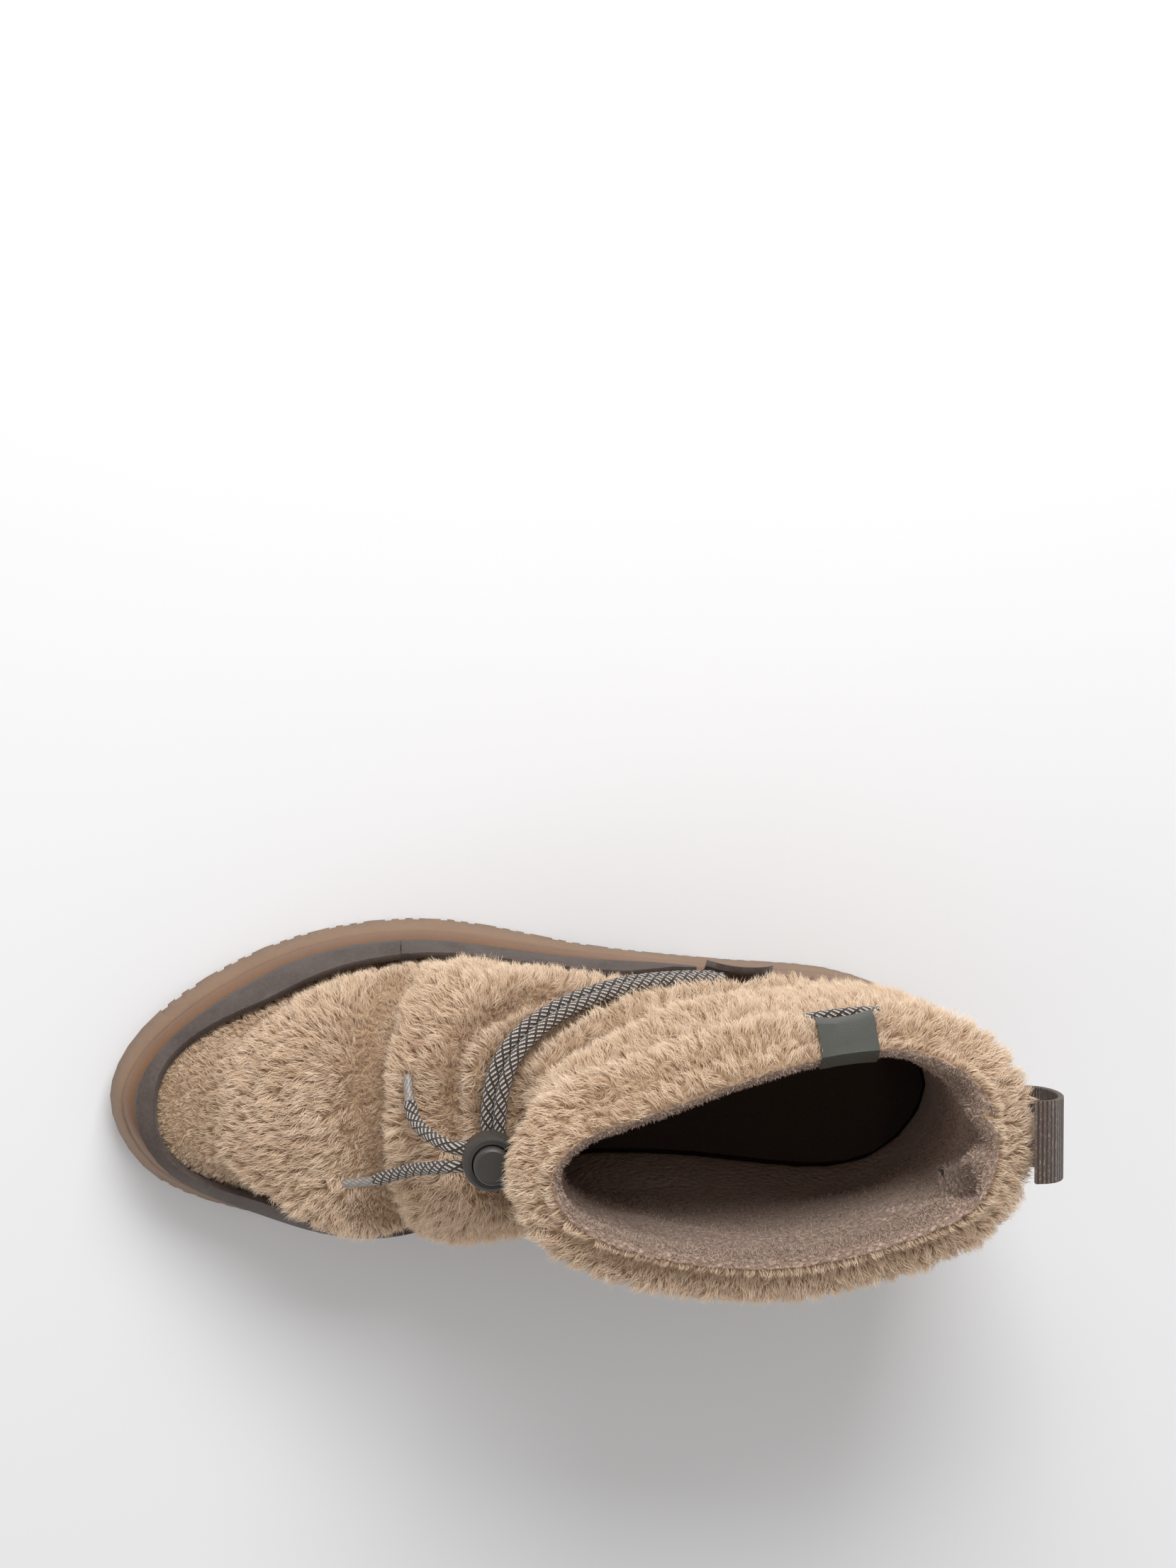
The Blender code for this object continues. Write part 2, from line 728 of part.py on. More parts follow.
def make_suede():
    """Toe rand and the two side rands, which meet it at a slanting seam, and cord keepers."""
    height = 0.93
    seam = [travel_at(suede_seam, side) for side in (-1, 1)]
    toe = np.linspace(seam[0] + gap, seam[1] - gap, 41)
    strap_on_skirt("toe_rand", toe, np.full(len(toe), height), 0.0, "suede")
    for side, label in ((-1, "lateral"), (1, "medial")):
        back = travel_at(suede_back_end, side)
        travel = np.linspace(seam[(side + 1) // 2], back, 13)
        fall = eased((0.030 - np.abs(travel - back)) / 0.030)
        strap_on_skirt(f"side_rand_{label}", travel, height - 0.5 * fall, 0.0, "suede")
        span = [travel_at(x, side) for x in (keeper_front, keeper_back)]
        travel = np.linspace(span[0], span[1], 9)
        arch = 0.42 + 0.62 * np.sin(np.linspace(0.12, math.pi - 0.12, 9)) ** 0.8
        strap_on_skirt(f"cord_keeper_{label}", travel, arch, keeper_flare, "suede")


def make_insole():
    """Footbed inside the upper, resting on the floor of the cup."""
    inset = lip_width + gap + lining_wall + insole_margin
    turn = np.linspace(0, math.pi, 25)
    shares = (1 - np.cos(turn)) / 2
    lateral, medial = sides_of(inset_edge(1.0, inset))
    x = lateral[0, 0] + shares * (lateral[-1, 0] - lateral[0, 0])
    left, right = (np.interp(x, side[:, 0], side[:, 1]) for side in (lateral, medial))
    plan = np.vstack([np.stack([x, left], 1), np.stack([x, right], 1)[-2:0:-1]])
    rows = []
    for lift in (gap, gap + insole_thickness):
        rows.append(np.column_stack([plan, cup_floor(plan[:, 0]) + lift]))
    points, faces = loft(rows)
    count = len(plan)
    for start in (0, count):
        for i in range(24):
            left, right, far = i, (count - i) % count, (count - i - 1) % count
            corners = (left, left + 1, far, right) if i else (left, left + 1, far)
            corners = corners if i < 23 else (left, left + 1, right)
            faces.append(tuple(start + c for c in corners))
    return add_object("insole", mesh_of(points, faces), "insole_fabric")


def make_tube(name, route, diameter, finish):
    """A round cord through a smooth route, its ends filled."""
    dense = open_curve(route, steps=24)
    steps = np.linalg.norm(np.diff(dense, axis=0), axis=1)
    travel = np.concatenate([[0], np.cumsum(steps)])
    count = max(3, round(travel[-1] / (2.4 * diameter)) + 1)
    at = np.linspace(0, travel[-1], count)
    points = np.stack([np.interp(at, travel, dense[:, k]) for k in range(3)], 1)
    curve = bpy.data.curves.new(name, "CURVE")
    curve.dimensions = "3D"
    curve.bevel_depth = diameter / 2
    curve.bevel_resolution = 2
    curve.use_fill_caps = True
    line = curve.splines.new("POLY")
    line.points.add(count - 1)
    for point, place in zip(line.points, points):
        point.co = (*place, 1)
    curve.materials.append(finish_of(finish))
    item = bpy.data.objects.new(name, curve)
    parts.objects.link(item)
    return item


def row_index(fold):
    return max(i for i, row in enumerate(fold_rows) if row.fold == fold)


def make_drawcords():
    """Two runs side by side in the cord groove, and one in the groove under the collar."""
    front, back = row_index("cord groove, front edge"), row_index("cord groove, back edge")
    lift = cord_diameter / 2 + cord_rest
    low, high = wall.fur[front], wall.fur[back]
    middle = (low + high) / 2
    normal = unit(wall.normal[front] + wall.normal[back])
    across = unit(np.cross(np.gradient(middle, axis=0), normal))
    spread = cord_diameter / 2 + gap
    for label, sign in (("lower", 1), ("upper", -1)):
        route = middle + across * sign * spread + normal * lift
        make_tube(f"drawcord_{label}_run", route[1:-1], cord_diameter, "cord")
    low, high = (row_index(f"top groove, {edge} edge") for edge in ("lower", "upper"))
    normal = unit(wall.normal[low] + wall.normal[high])
    ring = (wall.fur[low] + wall.fur[high]) / 2 + normal * lift
    open_ring = np.roll(ring[:-1], -toe_columns, 0)[2:-1]
    return make_tube("collar_cord", open_ring, cord_diameter, "cord")


def turned(profile, sides=28):
    """A closed shape turned round Z from (radius, height) pairs that start and end on the axis."""
    turn = np.linspace(0, 2 * math.pi, sides, endpoint=False)
    ring = np.stack([np.cos(turn), np.sin(turn), np.zeros(sides)], 1)
    rows = [ring * max(radius, 1e-7) + np.array([0, 0, height]) for radius, height in profile]
    points, faces = loft(rows)
    return mesh_of(points, faces, merge=1e-6, sharp=30)


def make_stopper(place):
    """Cord stopper: a rounded body with a cord slot, and the push button in its top."""
    radius, height = stopper_diameter / 2, stopper_height
    bore = button_diameter / 2 + button_clearance
    bore_floor = height - button_travel - cord_diameter
    body = turned((
        (0, 0), (radius * 0.80, 0), (radius * 0.95, height * 0.06), (radius, height * 0.18),
        (radius, height * 0.80), (radius * 0.96, height * 0.93), (radius * 0.86, height),
        (bore, height), (bore, bore_floor), (0, bore_floor),
    ))
    stopper = add_object("cord_stopper", body, "dark_plastic")
    stopper.location = place
    shape = bmesh.new()
    made = bmesh.ops.create_cube(shape, size=1.0)["verts"]
    slot = (stopper_diameter * 1.3, 2 * cord_diameter + 2 * slot_play, cord_diameter + slot_play)
    bmesh.ops.scale(shape, verts=made, vec=slot)
    mesh = bpy.data.meshes.new("slot")
    shape.to_mesh(mesh)
    shape.free()
    cutter = add_object("stopper_slot", mesh, None, cutters)
    cutter.location = place
    cutter.location.z += slot_height
    cutter.hide_render = True
    cutter.display_type = "WIRE"
    cut = stopper.modifiers.new("slot", "BOOLEAN")
    cut.operation = "DIFFERENCE"
    cut.object = cutter
    cap = button_diameter / 2
    floor, top = bore_floor + button_travel + gap, height + button_proud
    button = add_object("stopper_button", turned((
        (0, floor), (cap, floor), (cap, top - stopper_edge),
        (cap - stopper_edge * 0.3, top - stopper_edge * 0.3), (cap - stopper_edge, top), (0, top),
    )), "dark_plastic")
    button.location = place
    return stopper


def make_cord_ends(place):
    """The two free ends that leave the stopper, each with its clear tip."""
    middle = np.array(place) + np.array([0, 0, slot_height])
    upper, lower = (np.array(route) * free_end for route in (upper_end_route, lower_end_route))
    tips = [np.array(route) * free_end for route in (upper_tip_route, lower_tip_route)]
    for label, route, tip in (("upper", upper, tips[0]), ("lower", lower, tips[1])):
        make_tube(f"cord_end_{label}", middle + route, cord_diameter, "cord")
        make_tube(f"cord_tip_{label}", middle + tip, tip_diameter, "clear_tip")


def collar_section(x):
    """The collar's section at x on its lateral side: outer face up, over the rim, and down."""
    start = row_index("top groove, upper edge") + 1
    crown = (wall.fur[-1] + wall.lining[-1]) / 2
    crown[:, 2] = rim_height
    rows = wall.fur[start:] + [crown] + wall.lining[::-1][:3]
    section = []
    for row in rows:
        half = row[: toe_columns + 1]
        order = np.argsort(half[3:, 0])
        section.append([np.interp(x, half[3:][order, 0], half[3:][order, k]) for k in (1, 2)])
    return np.array(section)


def make_side_loop():
    """Leather strap over the lateral collar, from the top groove to inside the lining."""
    columns = np.linspace(-0.5, 0.5, 4) * side_loop_width + side_loop_place
    sheets = []
    for lift in (gap * 2 + side_loop_leather, gap * 2):
        for x in columns:
            line = collar_section(x)
            along = unit(np.gradient(line, axis=0))
            out = np.stack([-along[:, 1], along[:, 0]], 1)
            moved = line + out * lift
            sheets.append(np.column_stack([np.full(len(moved), x), moved]))
    half = len(columns)
    rows = sheets[:half] + sheets[half:][::-1]
    points, faces = loft(rows, closed=False, round_trip=True)
    count = len(rows[0])
    faces.append(tuple(k * count for k in range(len(rows))))
    faces.append(tuple(k * count + count - 1 for k in range(len(rows)))[::-1])
    return add_object("side_loop", mesh_of(points, faces), "leather")


def make_pull_loop():
    """Webbing loop standing off the back of the collar."""
    start = row_index("top groove, lower edge") - 1
    back = np.array([row[0] for row in wall.fur[start:]])
    order = np.argsort(back[:, 2])
    top = rim_height - 0.007
    turn = np.linspace(math.pi / 2, -math.pi / 2, 13)
    z = top - pull_drop / 2 + pull_drop / 2 * np.sin(turn)
    surface = np.interp(z, back[order, 2], back[order, 0]) - gap * 2
    surface[:] = surface.min()
    reach = pull_reach * np.cos(turn) ** 0.7
    outer = np.stack([surface - reach, z], 1)
    along = unit(np.gradient(outer, axis=0))
    into = np.stack([-along[:, 1], along[:, 0]], 1)
    inner = outer + into * pull_tape * (1 if into[6, 0] > 0 else -1)
    inner[[0, -1], 0] = outer[[0, -1], 0]
    y = float(back[:, 1].mean())
    rows = []
    for side in (-0.5, 0.5):
        for line in ((outer, inner) if side < 0 else (inner, outer)):
            rows.append(np.stack([line[:, 0], np.full(13, y + side * pull_width), line[:, 1]], 1))
    points, faces = loft(rows, closed=False, round_trip=True)
    faces.append(tuple(k * 13 for k in range(4)))
    faces.append(tuple(k * 13 + 12 for k in range(4))[::-1])
    return add_object("pull_loop", mesh_of(points, faces), "webbing")


def centre_over_origin():
    """Moves the boot so that its box stands over the origin."""
    corners = []
    for item in parts.objects:
        if item.type == "MESH":
            corners += [np.array(item.location) + np.array(v.co) for v in item.data.vertices]
    box = np.array([np.min(corners, 0), np.max(corners, 0)])
    middle = box.mean(0)
    for item in list(parts.objects) + list(cutters.objects):
        item.location.x -= middle[0]
        item.location.y -= middle[1]
        item.location.z -= box[0, 2]


def main():
    for item in list(bpy.data.objects):
        bpy.data.objects.remove(item, do_unlink=True)
    for collection in (parts, cutters):
        bpy.context.scene.collection.children.link(collection)
    outsole = make_outsole()
    cut = outsole.modifiers.new("tread", "BOOLEAN")
    cut.operation = "DIFFERENCE"
    cut.object = make_notches()
    make_upper()
    make_suede()
    make_insole()
    make_drawcords()
    make_stopper(stopper_at)
    make_cord_ends(stopper_at)
    make_side_loop()
    make_pull_loop()
    centre_over_origin()


main()
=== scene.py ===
import math
import time

import bmesh
import bpy
import numpy as np
from mathutils import Matrix, Vector
from mathutils.bvhtree import BVHTree
from mathutils.kdtree import KDTree

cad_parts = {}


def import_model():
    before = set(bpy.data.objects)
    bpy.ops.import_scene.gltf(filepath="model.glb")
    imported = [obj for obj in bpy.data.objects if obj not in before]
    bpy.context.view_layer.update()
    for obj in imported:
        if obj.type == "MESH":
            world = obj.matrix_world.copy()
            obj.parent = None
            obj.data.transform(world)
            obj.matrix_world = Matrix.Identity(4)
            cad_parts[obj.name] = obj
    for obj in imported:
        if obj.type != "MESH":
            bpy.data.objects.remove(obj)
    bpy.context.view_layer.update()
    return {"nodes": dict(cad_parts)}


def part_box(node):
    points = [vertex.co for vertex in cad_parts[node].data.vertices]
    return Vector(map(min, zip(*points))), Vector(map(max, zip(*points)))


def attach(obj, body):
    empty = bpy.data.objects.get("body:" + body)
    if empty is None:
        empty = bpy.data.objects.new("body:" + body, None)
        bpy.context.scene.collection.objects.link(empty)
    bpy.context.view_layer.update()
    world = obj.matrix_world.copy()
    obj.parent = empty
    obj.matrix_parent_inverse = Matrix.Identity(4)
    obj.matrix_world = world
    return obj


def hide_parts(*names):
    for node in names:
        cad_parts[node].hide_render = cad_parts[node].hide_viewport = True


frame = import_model()
nodes = frame["nodes"]
started = time.time()


def report(words):
    print(f"winter boot: {words} ({time.time() - started:.0f} s)")


# where things are: plan metres run from the heel (x) and from the middle line (y)

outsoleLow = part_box("outsole")[0]
middleFromEdge = 0.0543
planToWorld = np.array([outsoleLow.x, outsoleLow.y + middleFromEdge, 0.0])


def world(*point):
    return np.array(point, float) + planToWorld


# camera

cameraValues = {
    "lens": 84.6,
    "sensor": 36.0,
    "place": (0.214, -0.176, 1.230),
    "lookAt": (0.1205, -0.0988, 0.0),
    "imageUp": (0.0, -1.0, 0.0),
}


def makeCamera(values):
    camera = bpy.data.objects.new("camera", bpy.data.cameras.new("camera"))
    bpy.context.scene.collection.objects.link(camera)
    camera.data.sensor_fit = "AUTO"
    camera.data.sensor_width = values["sensor"]
    camera.data.lens = values["lens"]
    place, target = Vector(world(*values["place"])), Vector(world(*values["lookAt"]))
    back = (place - target).normalized()
    right = Vector(values["imageUp"]).cross(back).normalized()
    up = back.cross(right)
    camera.matrix_world = Matrix((
        (right.x, up.x, back.x, place.x),
        (right.y, up.y, back.y, place.y),
        (right.z, up.z, back.z, place.z),
        (0, 0, 0, 1),
    ))
    camera.data.clip_end = 20
    bpy.context.scene.camera = camera


makeCamera(cameraValues)


# helpers for arrays and meshes


def unit(vectors):
    return vectors / np.maximum(np.linalg.norm(vectors, axis=-1, keepdims=True), 1e-12)


def eased(share):
    t = np.clip(share, 0.0, 1.0)
    return t * t * (3 - 2 * t)


def smoothLine(points, count):
    # a Catmull-Rom curve through the points, in count even steps
    line = np.array(points, float)
    line = np.vstack([2 * line[0] - line[1], line, 2 * line[-1] - line[-2]])
    t = np.linspace(0, 1, 24, endpoint=False)[None, :, None]
    a, b, c, d = (line[i : len(line) - 3 + i, None, :] for i in range(4))
    curve = 2 * b + (c - a) * t + (2 * a - 5 * b + 4 * c - d) * t**2 + (3 * b - a - 3 * c + d) * t**3
    dense = np.vstack([(curve / 2).reshape(-1, line.shape[1]), line[-2:-1]])
    return evenly(dense, count)


def evenly(points, count):
    travel = np.concatenate([[0], np.cumsum(np.linalg.norm(np.diff(points, axis=0), axis=1))])
    at = np.linspace(0, travel[-1], count)
    return np.stack([np.interp(at, travel, points[:, k]) for k in range(points.shape[1])], 1)


def lengthOf(points):
    return float(np.linalg.norm(np.diff(points, axis=0), axis=1).sum())


def meshFromArrays(name, points, faces):
    # faces is a list of index arrays, one for each number of corners
    mesh = bpy.data.meshes.new(name)
    mesh.vertices.add(len(points))
    mesh.vertices.foreach_set("co", np.asarray(points, np.float32).ravel())
    corners = np.concatenate([f.ravel() for f in faces]).astype(np.int32)
    totals = np.concatenate([np.full(len(f), f.shape[1]) for f in faces]).astype(np.int32)
    mesh.loops.add(len(corners))
    mesh.loops.foreach_set("vertex_index", corners)
    mesh.polygons.add(len(totals))
    mesh.polygons.foreach_set("loop_start", np.concatenate([[0], np.cumsum(totals)[:-1]]).astype(np.int32))
    mesh.polygons.foreach_set("loop_total", totals)
    mesh.update(calc_edges=True)
    mesh.validate()
    mesh.shade_smooth()
    return mesh


def addPiece(name, mesh, material, body="boot", stands=()):
    item = bpy.data.objects.new(name, mesh)
    bpy.context.scene.collection.objects.link(item)
    for one in material if isinstance(material, (list, tuple)) else [material]:
        mesh.materials.append(one)
    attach(item, body)
    if stands:
        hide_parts(*stands)
    return item


def setAttribute(mesh, name, values, kind="FLOAT"):
    layer = mesh.attributes.new(name, kind, "POINT")
    field = "value" if kind == "FLOAT" else "color"
    layer.data.foreach_set(field, np.asarray(values, np.float32).ravel())


def pointsOf(mesh):
    points = np.zeros(len(mesh.vertices) * 3)
    mesh.vertices.foreach_get("co", points)
    return points.reshape(-1, 3)


def trianglesOf(mesh):
    mesh.calc_loop_triangles()
    found = np.zeros(len(mesh.loop_triangles) * 3, np.int32)
    mesh.loop_triangles.foreach_get("vertices", found)
    return found.reshape(-1, 3)


def nearestOnLine(points, line):
    best, where = np.full(len(points), 1e9), np.zeros_like(points)
    for a, b in zip(line[:-1], line[1:]):
        d = b - a
        t = np.clip(((points - a) @ d) / (d @ d), 0, 1)[:, None]
        near = a + d * t
        away = np.linalg.norm(points - near, axis=1)
        closer = away < best
        best = np.where(closer, away, best)
        where[closer] = near[closer]
    return best, where


def vertexNormals(points, triangles):
    a, b, c = (points[triangles[:, k]] for k in range(3))
    flat = np.cross(b - a, c - a)
    normals = np.zeros_like(points)
    for k in range(3):
        np.add.at(normals, triangles[:, k], flat)
    return unit(normals)


cornerValues = {
    "middle": 0.112,
    "reach": 0.046,
    "innerSide": 0.014,
    "sideFade": 0.028,
    "lowest": 0.112,
    "riseFade": 0.030,
    "move": (-0.0040, 0.0098, 0.0),
    "wallShare": 0.85,
    "liningShare": 1.2,
}


def frontCorner(points, share=1.0):
    # the collar drawn in at its lateral front corner
    values = cornerValues
    weight = np.exp(-(((points[:, 0] - values["middle"]) / values["reach"]) ** 2))
    weight = weight * eased((values["innerSide"] - points[:, 1]) / values["sideFade"])
    weight *= eased((points[:, 2] - values["lowest"]) / values["riseFade"]) * share
    return points + weight[:, None] * np.array(values["move"])


def setPoints(mesh, points):
    mesh.vertices.foreach_set("co", points.astype(np.float32).ravel())
    mesh.update()


def awayFromMiddle(points, line):
    # level directions that lead straight out from a middle line
    _, near = nearestOnLine(points, line)
    return unit((points - near) * np.array([1.0, 1.0, 0.0]))


def bevelEdge(piece, width=0.0004):
    edge = piece.modifiers.new("edge", "BEVEL")
    edge.width = width
    edge.segments = 2
    edge.limit_method = "ANGLE"


def weldedCopy(node, cuts=0, name="copy"):
    # the node's mesh with its split corners joined, and smoothed by subdivision if asked
    mesh = nodes[node].data.copy()
    mesh.name = name
    shape = bmesh.new()
    shape.from_mesh(mesh)
    bmesh.ops.remove_doubles(shape, verts=shape.verts, dist=1e-6)
    bmesh.ops.recalc_face_normals(shape, faces=shape.faces)
    shape.to_mesh(mesh)
    shape.free()
    mesh.materials.clear()
    if cuts:
        carrier = bpy.data.objects.new(name, mesh)
        bpy.context.scene.collection.objects.link(carrier)
        smoother = carrier.modifiers.new("smooth", "SUBSURF")
        smoother.levels = smoother.render_levels = cuts
        done = bpy.data.meshes.new_from_object(carrier.evaluated_get(bpy.context.evaluated_depsgraph_get()))
        bpy.data.objects.remove(carrier)
        mesh = done
    mesh.shade_smooth()
    return mesh


def tubeMesh(name, points, radius, sides=16):
    # a round cord along points, with UVs round it and along it in metres
    points = np.asarray(points, float)
    along = unit(np.gradient(points, axis=0))
    guide = np.array([0.0, 0.0, 1.0])
    side = unit(np.cross(along, guide) + 1e-9)
    for k in range(1, len(side)):
        turned = side[k - 1] - along[k] * (side[k - 1] @ along[k])
        side[k] = turned / max(np.linalg.norm(turned), 1e-9)
    up = np.cross(side, along)
    turn = np.linspace(0, 2 * math.pi, sides, endpoint=False)
    radii = np.broadcast_to(radius, len(points))[:, None, None]
    ring = side[:, None] * np.cos(turn)[None, :, None] + up[:, None] * np.sin(turn)[None, :, None]
    verts = (points[:, None] + ring * radii).reshape(-1, 3)
    n, m = len(points), sides
    i, j = np.meshgrid(np.arange(n - 1), np.arange(m), indexing="ij")
    after = (j + 1) % m
    quads = np.stack([i * m + j, i * m + after, (i + 1) * m + after, (i + 1) * m + j], -1).reshape(-1, 4)
    bulge = 0.3
    ends = np.vstack([
        points[0] - along[0] * radii[0, 0, 0] * bulge,
        points[-1] + along[-1] * radii[-1, 0, 0] * bulge,
    ])
    base = len(verts)
    verts = np.vstack([verts, ends])
    k = np.arange(m)
    first = np.stack([np.full(m, base), (k + 1) % m, k], 1)
    last = np.stack([np.full(m, base + 1), (n - 1) * m + k, (n - 1) * m + (k + 1) % m], 1)
    mesh = meshFromArrays(name, verts, [quads, np.vstack([first, last])])
    travel = np.concatenate([[0], np.cumsum(np.linalg.norm(np.diff(points, axis=0), axis=1))])
    uv = mesh.uv_layers.new(name="cord")
    corners = np.zeros(len(mesh.loops), np.int32)
    mesh.loops.foreach_get("vertex_index", corners)
    roundShare = np.where(corners < n * m, (corners % m) / m, 0.0)
    lengthAt = travel[np.clip(corners // m, 0, n - 1)]
    starts = np.arange(len(quads)) * 4
    wrap = (quads[:, 1] % m == 0)
    for offset in (1, 2):
        roundShare[starts[wrap] + offset] = 1.0
    uv.data.foreach_set("uv", np.stack([roundShare, lengthAt], 1).astype(np.float32).ravel())
    return mesh


# shader groups used by more than one material


def socket(group, name, kind, into, value=None):
    made = group.interface.new_socket(name=name, in_out="INPUT" if into else "OUTPUT", socket_type=kind)
    if value is not None:
        made.default_value = value


def newGroup(name, inputs, outputs):
    group = bpy.data.node_groups.new(name, "ShaderNodeTree")
    for label, kind, value in inputs:
        socket(group, label, kind, True, value)
    for label, kind in outputs:
        socket(group, label, kind, False)
    return group, group.nodes.new("NodeGroupInput"), group.nodes.new("NodeGroupOutput")


def link(tree, fromSocket, toSocket):
    tree.links.new(fromSocket, toSocket)


def mathNode(tree, operation, first, second=None, third=None):
    node = tree.nodes.new("ShaderNodeMath")
    node.operation = operation
    for k, value in enumerate((first, second, third)):
        if value is None:
            continue
        if isinstance(value, (int, float)):
            node.inputs[k].default_value = value
        else:
            link(tree, value, node.inputs[k])
    return node.outputs[0]


def scaled(tree, value, gain, offset=None):
    return mathNode(tree, "MULTIPLY" if offset is None else "MULTIPLY_ADD", value, gain, offset)


def mixColours(tree, share, first, second):
    node = tree.nodes.new("ShaderNodeMix")
    node.data_type = "RGBA"
    for socketName, value in (("A", first), ("B", second)):
        target = [s for s in node.inputs if s.name == socketName and s.type == "RGBA"][0]
        if isinstance(value, (tuple, list)):
            target.default_value = (*value[:3], 1)
        else:
            link(tree, value, target)
    factor = node.inputs[0]
    if isinstance(share, (int, float)):
        factor.default_value = share
    else:
        link(tree, share, factor)
    return [s for s in node.outputs if s.type == "RGBA"][0]


def linear(level):
    return level / 12.92 if level < 0.04045 else ((level + 0.055) / 1.055) ** 2.4


def srgb(red, green, blue):
    # 0 to 255 screen colour to linear
    return tuple(linear(v / 255) for v in (red, green, blue))


def makeMottle():
    # soft patches at two scales, as a mask around 0.5
    group, given, out = newGroup(
        "mottle",
        [("Scale", "NodeSocketFloat", 60.0), ("Fine", "NodeSocketFloat", 8.0)],
        [("Mask", "NodeSocketFloat")],
    )
    where = group.nodes.new("ShaderNodeTexCoord")
    coarse = group.nodes.new("ShaderNodeTexNoise")
    fine = group.nodes.new("ShaderNodeTexNoise")
    link(group, where.outputs["Object"], coarse.inputs["Vector"])
    link(group, where.outputs["Object"], fine.inputs["Vector"])
    link(group, given.outputs["Scale"], coarse.inputs["Scale"])
    fineScale = scaled(group, given.outputs["Scale"], given.outputs["Fine"])
    link(group, fineScale, fine.inputs["Scale"])
    coarsePart = scaled(group, coarse.outputs["Fac"], 0.6)
    total = scaled(group, fine.outputs["Fac"], 0.4, coarsePart)
    link(group, total, out.inputs["Mask"])
    return group


def makeBraid():
    # two sets of strands crossing round a cord: colour mask and height
    group, given, out = newGroup(
        "braid",
        [("Strands", "NodeSocketFloat", 16.0), ("Pitch", "NodeSocketFloat", 0.0011)],
        [("Light", "NodeSocketFloat"), ("Height", "NodeSocketFloat")],
    )
    uv = group.nodes.new("ShaderNodeUVMap")
    uv.uv_map = "cord"
    parts = group.nodes.new("ShaderNodeSeparateXYZ")
    link(group, uv.outputs[0], parts.inputs[0])
    roundTurn = scaled(group, parts.outputs["X"], given.outputs["Strands"])
    along = mathNode(group, "DIVIDE", parts.outputs["Y"], given.outputs["Pitch"])
    s = mathNode(group, "ADD", roundTurn, along)
    t = mathNode(group, "SUBTRACT", roundTurn, along)
    sWhole, tWhole = mathNode(group, "FLOOR", s), mathNode(group, "FLOOR", t)
    over = mathNode(group, "FLOORED_MODULO", mathNode(group, "ADD", sWhole, tWhole), 2.0)
    sColour = mathNode(group, "FLOORED_MODULO", sWhole, 2.0)
    tColour = mathNode(group, "LESS_THAN", mathNode(group, "FLOORED_MODULO", tWhole, 4.0), 0.5)
    mixed = group.nodes.new("ShaderNodeMix")
    link(group, over, mixed.inputs[0])
    link(group, sColour, mixed.inputs[2])
    link(group, tColour, mixed.inputs[3])
    link(group, mixed.outputs[0], out.inputs["Light"])
    sWave = mathNode(group, "ABSOLUTE", mathNode(group, "SINE", scaled(group, s, math.pi)))
    tWave = mathNode(group, "ABSOLUTE", mathNode(group, "SINE", scaled(group, t, math.pi)))
    link(group, scaled(group, sWave, tWave), out.inputs["Height"])
    return group


mottle = makeMottle()
braid = makeBraid()


def newMaterial(name, roughness=0.6, **constants):
    material = bpy.data.materials.new(name)
    material.use_nodes = True
    tree = material.node_tree
    shader = tree.nodes["Principled BSDF"]
    shader.inputs["Roughness"].default_value = roughness
    for label, value in constants.items():
        shader.inputs[label.replace("_", " ")].default_value = value
    return material, tree, shader


def placeGroup(tree, group, **values):
    node = tree.nodes.new("ShaderNodeGroup")
    node.node_tree = group
    for label, value in values.items():
        node.inputs[label].default_value = value
    return node


def patchesOf(tree, scale, fine=8.0):
    # a mask of soft patches, around 0.5
    return placeGroup(tree, mottle, Scale=scale, Fine=fine).outputs["Mask"]


def paint(tree, shader, colour):
    link(tree, colour, shader.inputs["Base Color"])


def placeBump(tree, shader, height, distance, strength=1.0):
    bump = tree.nodes.new("ShaderNodeBump")
    bump.inputs["Distance"].default_value = distance
    bump.inputs["Strength"].default_value = strength
    link(tree, height, bump.inputs["Height"])
    link(tree, bump.outputs["Normal"], shader.inputs["Normal"])


def noiseOf(tree, scale, detail=3.0, stretch=None):
    where = tree.nodes.new("ShaderNodeTexCoord")
    noise = tree.nodes.new("ShaderNodeTexNoise")
    noise.inputs["Scale"].default_value = scale
    noise.inputs["Detail"].default_value = detail
    if stretch:
        mapping = tree.nodes.new("ShaderNodeMapping")
        mapping.inputs["Scale"].default_value = stretch
        link(tree, where.outputs["Object"], mapping.inputs["Vector"])
        link(tree, mapping.outputs["Vector"], noise.inputs["Vector"])
    else:
        link(tree, where.outputs["Object"], noise.inputs["Vector"])
    return noise.outputs["Fac"]


def rampOf(tree, share, stops):
    ramp = tree.nodes.new("ShaderNodeValToRGB")
    elements = ramp.color_ramp.elements
    while len(elements) < len(stops):
        elements.new(0.5)
    for element, (place, colour) in zip(elements, stops):
        element.position = place
        element.color = (*colour[:3], 1)
    link(tree, share, ramp.inputs[0])
    return ramp.outputs["Color"]


def attributeOf(tree, name):
    node = tree.nodes.new("ShaderNodeAttribute")
    node.attribute_name = name
    return node


def multiplyColours(tree, first, second):
    node = tree.nodes.new("ShaderNodeMix")
    node.data_type = "RGBA"
    node.blend_type = "MULTIPLY"
    node.inputs[0].default_value = 1.0
    link(tree, first, node.inputs[6])
    link(tree, second, node.inputs[7])
    return node.outputs[2]


def cellsOf(tree, scale):
    # distance to the nearest of many scattered points
    cells = tree.nodes.new("ShaderNodeTexVoronoi")
    cells.inputs["Scale"].default_value = scale
    where = tree.nodes.new("ShaderNodeTexCoord")
    link(tree, where.outputs["Object"], cells.inputs["Vector"])
    return cells.outputs["Distance"]


# cords: the two free ends first, by the same route as their solids

